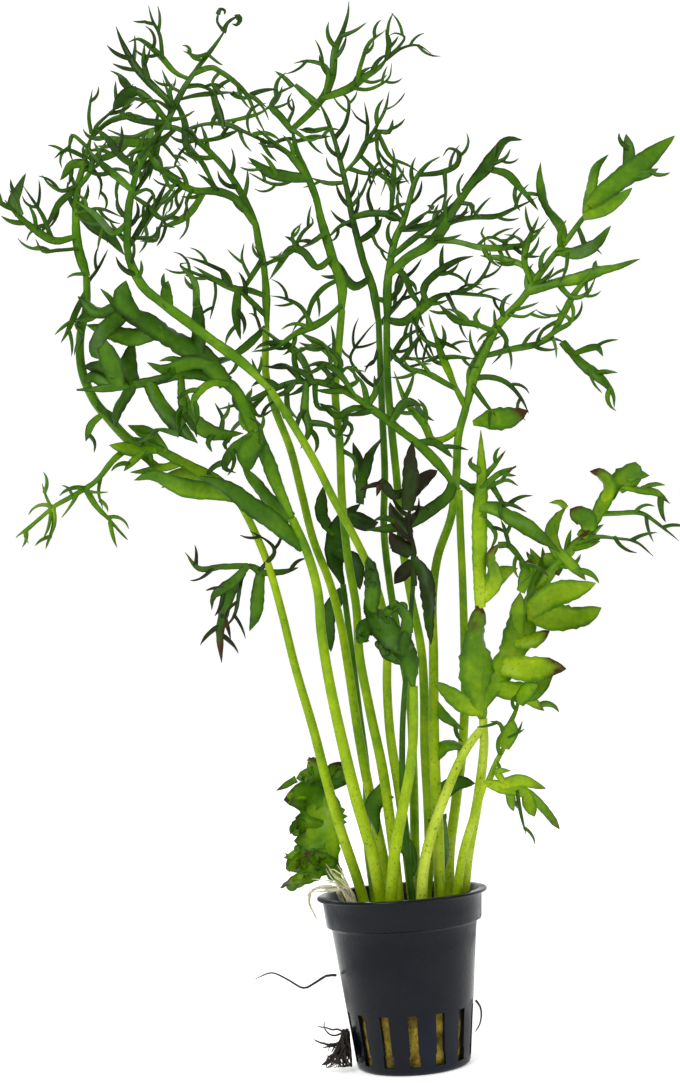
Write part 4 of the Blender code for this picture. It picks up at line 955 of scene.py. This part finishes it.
def leaf_finish():
    """Living fern tissue, grown: a thin skin with a soft shine, yellow-green on stalks and deep green on
    leaves, mottled by the cells under it, with dark specks on stalks and brown where lobes have died back."""
    made, tree, shader = finish("water_sprite_leaf")
    tone = add(tree, "Attribute", {}, "Fac", attribute_name="tone")
    burn = add(tree, "Attribute", {}, "Fac", attribute_name="burn")
    edge = add(tree, "Attribute", {}, "Fac", attribute_name="edge")
    # Mottling 11 mm across, painted shade that darkens the margins, and cells drawn coarser than they are,
    # 1.4 mm across, to show
    cells = speckle(tree, 1.43, 0.3, 0.7)
    mottle = add(tree, "Math", {0: speckle(tree, 11.1, 0.25, 0.75), 1: 0.55}, operation="SUBTRACT")
    mottle = add(tree, "Math", {0: mottle, 1: 0.26}, operation="MULTIPLY")
    grain = add(tree, "Math", {0: cells, 1: 0.5}, operation="SUBTRACT")
    grain = add(tree, "Math", {0: grain, 1: 0.06}, operation="MULTIPLY")
    # Painted shade: the tone drops towards each leaf's margins and lifts a little in its middle
    painted_margin_shade = add(tree, "MapRange", {0: edge, 1: 0.6, 2: 1.0, 3: 0.03, 4: -0.14})
    level = tone
    for shift in (mottle, grain, painted_margin_shade):
        level = add(tree, "Math", {0: level, 1: shift}, operation="ADD")
    stops = [(0.0, "#120C04"), (0.12, "#1E1806"), (0.24, "#1D2B03"), (0.36, "#234303"), (0.50, "#386303"),
             (0.62, "#507C03"), (0.74, "#769B05"), (0.86, "#98B40C"), (1.0, "#BDCE46")]
    colour = add(tree, "ValToRGB", {"Fac": level}, "Color", stops)
    # Specks 0.8 mm across, on the pale stalks only
    pale = add(tree, "MapRange", {0: tone, 1: 0.7, 2: 0.8, 3: 0.0, 4: 0.75})
    speck = add(tree, "Math", {0: speckle(tree, 0.77, 0.60, 0.68), 1: pale}, operation="MULTIPLY")
    colour = add(tree, "Mix", {0: speck, 6: colour, 7: "#44500E"}, 2, data_type="RGBA")
    # Dead tissue, in patches 4 mm across
    patch = add(tree, "Math", {0: speckle(tree, 3.85, 0.35, 0.6), 1: 1.3}, operation="MULTIPLY")
    patch = add(tree, "Math", {0: patch, 1: 0.35}, operation="ADD")
    dead = add(tree, "Math", {0: burn, 1: patch}, operation="MULTIPLY")
    colour = add(tree, "Mix", {0: dead, 6: colour, 7: "#3E260C"}, 2, data_type="RGBA")
    relief = add(tree, "Bump", {"Height": cells, "Distance": 0.06 * MM})
    feed(tree, shader, {"Base Color": colour, "Roughness": 0.42, "Normal": relief})
    feed(tree, shader, {"Specular IOR Level": 0.15})
    return made


def natural_finish(name):
    """One of the matte natural surfaces: its colours in patches, and a fine relief."""
    stops, patch, roughness, depth = NATURAL[name]
    made, tree, shader = finish(name)
    colour = add(tree, "ValToRGB", {"Fac": speckle(tree, patch, 0.3, 0.7)}, "Color", stops)
    relief = add(tree, "Bump", {"Height": speckle(tree, patch / 6, 0.3, 0.7), "Distance": depth * MM})
    feed(tree, shader, {"Base Color": colour, "Roughness": roughness, "Normal": relief})
    return made


def pot_finish():
    """Polypropylene, injection-moulded: nearly black and cool, with a satin shine, and glossy where wet."""
    made, tree, shader = finish("net_pot_polypropylene")
    # Smears of water 17 mm across, clouds of colour 29 mm across, and the mould's grain, drawn 1.1 mm across
    # to show
    rough = add(tree, "MapRange", {0: speckle(tree, 16.7, 0.42, 0.62), 1: 0.0, 2: 1.0, 3: 0.16, 4: 0.50})
    stops = [(0.0, "#02060E"), (0.6, "#040A16"), (1.0, "#0A1626")]
    colour = add(tree, "ValToRGB", {"Fac": speckle(tree, 28.6, 0.3, 0.7)}, "Color", stops)
    relief = add(tree, "Bump", {"Height": speckle(tree, 1.11, 0.3, 0.7), "Distance": 0.03 * MM})
    feed(tree, shader, {"Base Color": colour, "Roughness": rough, "Normal": relief})
    feed(tree, shader, {"Specular IOR Level": 0.2})
    return made


def turned(profile, steps, rough=0.0, seed=0.0):
    """The points and faces of a turned solid, from its (radius, height) profile in mm, lumpy where rough."""
    verts = []
    faces = []
    for radius, height in profile:
        for turn in range(steps):
            angle = math.tau * turn / steps
            place = Vector((radius * math.cos(angle), radius * math.sin(angle), height))
            if rough and radius > 0.1:
                swell = noise.fractal(place * 0.35 + Vector((seed, 0, 0)), 1.0, 2.0, 4) * rough
                place = place + Vector((place.x, place.y, 0)).normalized() * min(0.0, swell - 0.25 * rough)
                place.z += noise.fractal(place * 0.4 + Vector((0, seed, 0)), 1.0, 2.0, 4) * rough * 0.7
            verts.append(tuple(place))
    for row in range(len(profile) - 1):
        low = row * steps
        for turn in range(steps):
            following = (turn + 1) % steps
            faces.append((low + turn, low + following, low + steps + following, low + steps + turn))
    return verts, faces


def wall_radius(z):
    """The outer radius of the pot's tapered wall at a height, in mm."""
    return BASE_RADIUS + (STEP_RADIUS - BASE_RADIUS) * z / (POT_HEIGHT - BAND_HEIGHT)


def pot_piece():
    """The net pot, turned with rounded edges. Slots are left out of the wall, and their sides filled in."""
    step = POT_HEIGHT - BAND_HEIGHT
    lip = POT_HEIGHT - LIP_THICKNESS
    inner = BAND_RADIUS + 0.6 - WALL
    steps = SLOTS * STEPS_A_SLOT
    heights = np.linspace(SLOT_LOW, SLOT_HIGH, 14)[1:]
    outer = [(0.0, 0.02), (BASE_RADIUS - 1.3, 0.02), (BASE_RADIUS - 0.7, 0.12), (BASE_RADIUS - 0.15, 0.5),
             (wall_radius(1.2), 1.2), (wall_radius(SLOT_LOW), SLOT_LOW)]
    outer += [(wall_radius(z), float(z)) for z in heights]
    outer += [(wall_radius(z), float(z)) for z in np.linspace(SLOT_HIGH, step - 1.2, 8)[1:]]
    outer += [(STEP_RADIUS + 0.05, step - 0.8), (STEP_RADIUS + 0.5, step - 0.35),
              (BAND_RADIUS - 0.15, step - 0.15), (BAND_RADIUS, step + 0.3), (BAND_RADIUS + 0.3, step + 4),
              (BAND_RADIUS + 0.55, lip - 0.5),
              (BAND_RADIUS + 0.8, lip - 0.1), (LIP_RADIUS - 0.35, lip), (LIP_RADIUS - 0.08, lip + 0.2),
              (LIP_RADIUS - 0.02, lip + 0.5), (LIP_RADIUS - 0.12, POT_HEIGHT - 0.15),
              (LIP_RADIUS - 0.4, POT_HEIGHT - 0.02), (inner + 0.3, POT_HEIGHT - 0.02),
              (inner, POT_HEIGHT - 0.25), (inner - 0.6, step + 0.6)]
    inside = [(wall_radius(z) - WALL, float(z)) for z in np.linspace(SLOT_HIGH, step - 0.4, 8)[::-1]]
    inside += [(wall_radius(z) - WALL, float(z)) for z in heights[::-1][1:]]
    inside += [(wall_radius(SLOT_LOW) - WALL, SLOT_LOW), (wall_radius(FLOOR) - WALL, FLOOR), (0.0, FLOOR)]
    profile = outer + inside
    verts, faces = turned(profile, steps)
    beside = [SLOT_LOW - 0.01 <= height <= SLOT_HIGH + 0.01 for radius, height in profile]
    holes = set()
    for row in range(len(profile) - 1):
        if beside[row] and beside[row + 1]:
            for turn in range(steps):
                centre = (turn // STEPS_A_SLOT + 0.5) * math.tau / SLOTS
                angle = (turn + 0.5) * math.tau / steps
                if abs(angle - centre) * profile[row][0] < SLOT_WIDTH / 2:
                    holes.add(row * steps + turn)
    kept = [face for place, face in enumerate(faces) if place not in holes]
    outer_rows = [row for row in range(len(outer)) if beside[row]]
    inner_rows = [row for row in range(len(outer), len(profile)) if beside[row]]
    partner = dict(zip(outer_rows, reversed(inner_rows)))
    edges = [edge for place in holes for edge in zip(faces[place], faces[place][1:] + faces[place][:1])]
    both_ways = set(edges)
    for a, b in edges:
        row_a, row_b = a // steps, b // steps
        if (b, a) not in both_ways and row_a in partner and row_b in partner:
            kept.append((a, b, partner[row_b] * steps + b % steps, partner[row_a] * steps + a % steps))
    add_piece("net_pot_fine", verts, kept, pot_finish(), ["net_pot"])


def filling():
    """The wool plug and the crown, both lumpy."""
    foot = wall_radius(WOOL_FOOT) - WALL - WOOL_GAP
    head = wall_radius(WOOL_TOP) - WALL - WOOL_GAP
    rise = WOOL_TOP - WOOL_FOOT
    side = [(foot + (head - foot) * t, WOOL_FOOT + rise * t) for t in np.linspace(0, 1, 60)]
    profile = [(0.0, WOOL_FOOT), (foot * 0.6, WOOL_FOOT)] + side + [(head * 0.6, WOOL_TOP), (0.0, WOOL_TOP)]
    verts, faces = turned(profile, 220, 0.8, 3.0)
    add_piece("wool_plug_fine", verts, faces, natural_finish("mineral_wool"), ["wool_plug"])
    rings = [(0.0, CROWN_FOOT), (12.0, CROWN_FOOT), (CROWN_RADIUS - 1, CROWN_FOOT), (CROWN_RADIUS, 41.5),
             (CROWN_RADIUS, 42.6)]
    rings += [(CROWN_RADIUS * t, CROWN_TOP - 1.4 * t ** 4) for t in np.linspace(0.96, 0.0, 26)]
    verts, faces = turned(rings, 150, 2.2, 9.0)
    add_piece("crown_fine", verts, faces, natural_finish("crown_tissue"), ["crown"])


def clump_fibres():
    """Fine roots around the clump that hangs out of the slot, and strays from it."""
    made = []
    for number in range(CLUMP_ROOTS):
        pick = [chance(CLUMP_KEY, number, place) for place in range(6)]
        x, z, y = -18.6 - 1.5 * pick[0], 11.5 - 6 * pick[1], -7.5 + 7 * pick[2]
        path = [np.array([x, z, y])]
        heading = -1.2 - 1.6 * pick[3]
        for step in range(6):
            heading += (chance(CLUMP_KEY, number, step, 6) - 0.45) * 1.3
            x = min(-18.4, x + 1.7 * math.cos(heading) * (0.6 + 0.6 * pick[4]))
            z = max(0.7, z + 1.5 * math.sin(heading))
            y += (chance(CLUMP_KEY, number, step, 7) - 0.5) * 1.8
            path.append(np.array([x, z, y]))
        made.append(("root", 0.45 + 0.5 * pick[5], smooth(path)))
    return made


def white_fibres():
    """Young white roots that spill over the rim at the left, in front of the crinkled leaf."""
    made = []
    for number in range(RIM_ROOTS):
        pick = [chance(RIM_KEY, number, place) for place in range(6)]
        x, z, y = -11 - 5 * pick[0], 45.5 + 2 * pick[1], -9 - 3.5 * pick[2]
        path = [np.array([x, z, y])]
        heading = 1.9 + 0.9 * pick[3]
        for step in range(7):
            heading += 0.16 + (chance(RIM_KEY, number, step, 6) - 0.5) * 0.9
            x += 1.5 * math.cos(heading) * (0.5 + pick[4])
            z = max(51.5 if x < -15 else 45.5, z + 1.6 * math.sin(heading))
            y += (chance(RIM_KEY, number, step, 7) - 0.5) * 1.2
            path.append(np.array([x, z, y]))
        made.append(("root", 0.4 + 0.35 * pick[5], smooth(path)))
    return made


def plants():
    """One piece for each frond and root, in place of the nodes of its name."""
    green = leaf_finish()
    old_root = natural_finish("fern_root")
    young_root = natural_finish("young_fern_root")
    slots = {part["node"]: part["material_slot"] for part in frame["record"]["subparts"]}
    for name, text in FRONDS.items():
        verts, faces, marks = [], [], []
        paths = limb_paths(text)
        if slots[name] in ("leaf", "brown"):
            paths += spurs(paths, key_of(name, 89), name in CRINKLED)
        if name == "root_clump":
            paths += clump_fibres()
        if name == "rim_roots":
            paths += white_fibres()
        for number, (kind, width, points) in enumerate(paths):
            if kind not in ROUND and kind != "rachis":
                width = width * FULLER.get(name, 1.0)
            limb_mesh(name, number, (kind, width, points), verts, faces, marks)
        nodes = [node for node in (name, name + "_stalk") if node in slots]
        surface = {"root": old_root, "pale_root": young_root}.get(slots[name], green)
        add_piece(name + "_fine", verts, faces, surface, nodes, marks)


def camera():
    """The camera of the photograph, with the plant's lean in the picture."""
    data = bpy.data.cameras.new("front")
    data.sensor_fit = "VERTICAL"
    data.sensor_height = SENSOR
    data.lens = SENSOR * VIEW_DISTANCE / VIEW_HEIGHT
    made = bpy.data.objects.new("front", data)
    bpy.context.scene.collection.objects.link(made)
    eye = Vector(SIGHT) * MM
    turn = (Vector(TARGET) * MM - eye).to_track_quat("-Z", "Y").to_matrix().to_4x4()
    made.matrix_world = Matrix.Translation(eye) @ turn @ Matrix.Rotation(math.radians(-LEAN), 4, "Z")
    bpy.context.scene.camera = made


def lamp(name, place, size, power):
    """A soft square light at a place, turned to the plant, in metres."""
    data = bpy.data.lights.new(name, "AREA")
    data.size = size
    data.energy = power
    made = bpy.data.objects.new(name, data)
    bpy.context.scene.collection.objects.link(made)
    turn = (Vector((0, 0, 0.15)) - Vector(place)).to_track_quat("-Z", "Y").to_matrix().to_4x4()
    made.matrix_world = Matrix.Translation(Vector(place)) @ turn


def studio():
    """A pale floor that runs on without an edge, soft light from above and in front, and a bright room."""
    rows = [(-3.0, 0.0), (1.2, 0.0)]
    rows += [(1.2 + 1.3 * math.sin(t), 1.3 - 1.3 * math.cos(t)) for t in np.linspace(0.1, math.pi / 2, 16)]
    rows += [(2.5, 5.0)]
    verts = [(x, y, z) for y, z in rows for x in (-6, 6)]
    faces = [(2 * row, 2 * row + 1, 2 * row + 3, 2 * row + 2) for row in range(len(rows) - 1)]
    mesh = bpy.data.meshes.new("floor")
    mesh.from_pydata(verts, [], faces)
    mesh.polygons.foreach_set("use_smooth", [True] * len(faces))
    # Studio paper: rolled and uncoated. The eye sees an even white with no shine. It glows faintly, to stay
    # white in the picture.
    made, tree, shader = finish("floor_paper")
    feed(tree, shader, {"Base Color": "#FAFAF8", "Roughness": 0.9})
    feed(tree, shader, {"Emission Color": "#FFFFFF", "Emission Strength": 0.42})
    mesh.materials.append(made)
    floor = bpy.data.objects.new("floor", mesh)
    bpy.context.scene.collection.objects.link(floor)
    lamp("key", (-0.5, -0.9, 1.1), 0.6, 11)
    lamp("fill", (0.9, -0.8, 0.6), 0.9, 2)
    lamp("back", (0.1, 0.9, 1.0), 0.8, 4)
    world = bpy.data.worlds.new("room")
    world.use_nodes = True
    feed(world.node_tree, world.node_tree.nodes["Background"], {"Color": "#FFFFFF", "Strength": 0.38})
    bpy.context.scene.world = world
    bpy.context.scene.view_settings.view_transform = "Standard"


camera()
studio()
pot_piece()
filling()
plants()
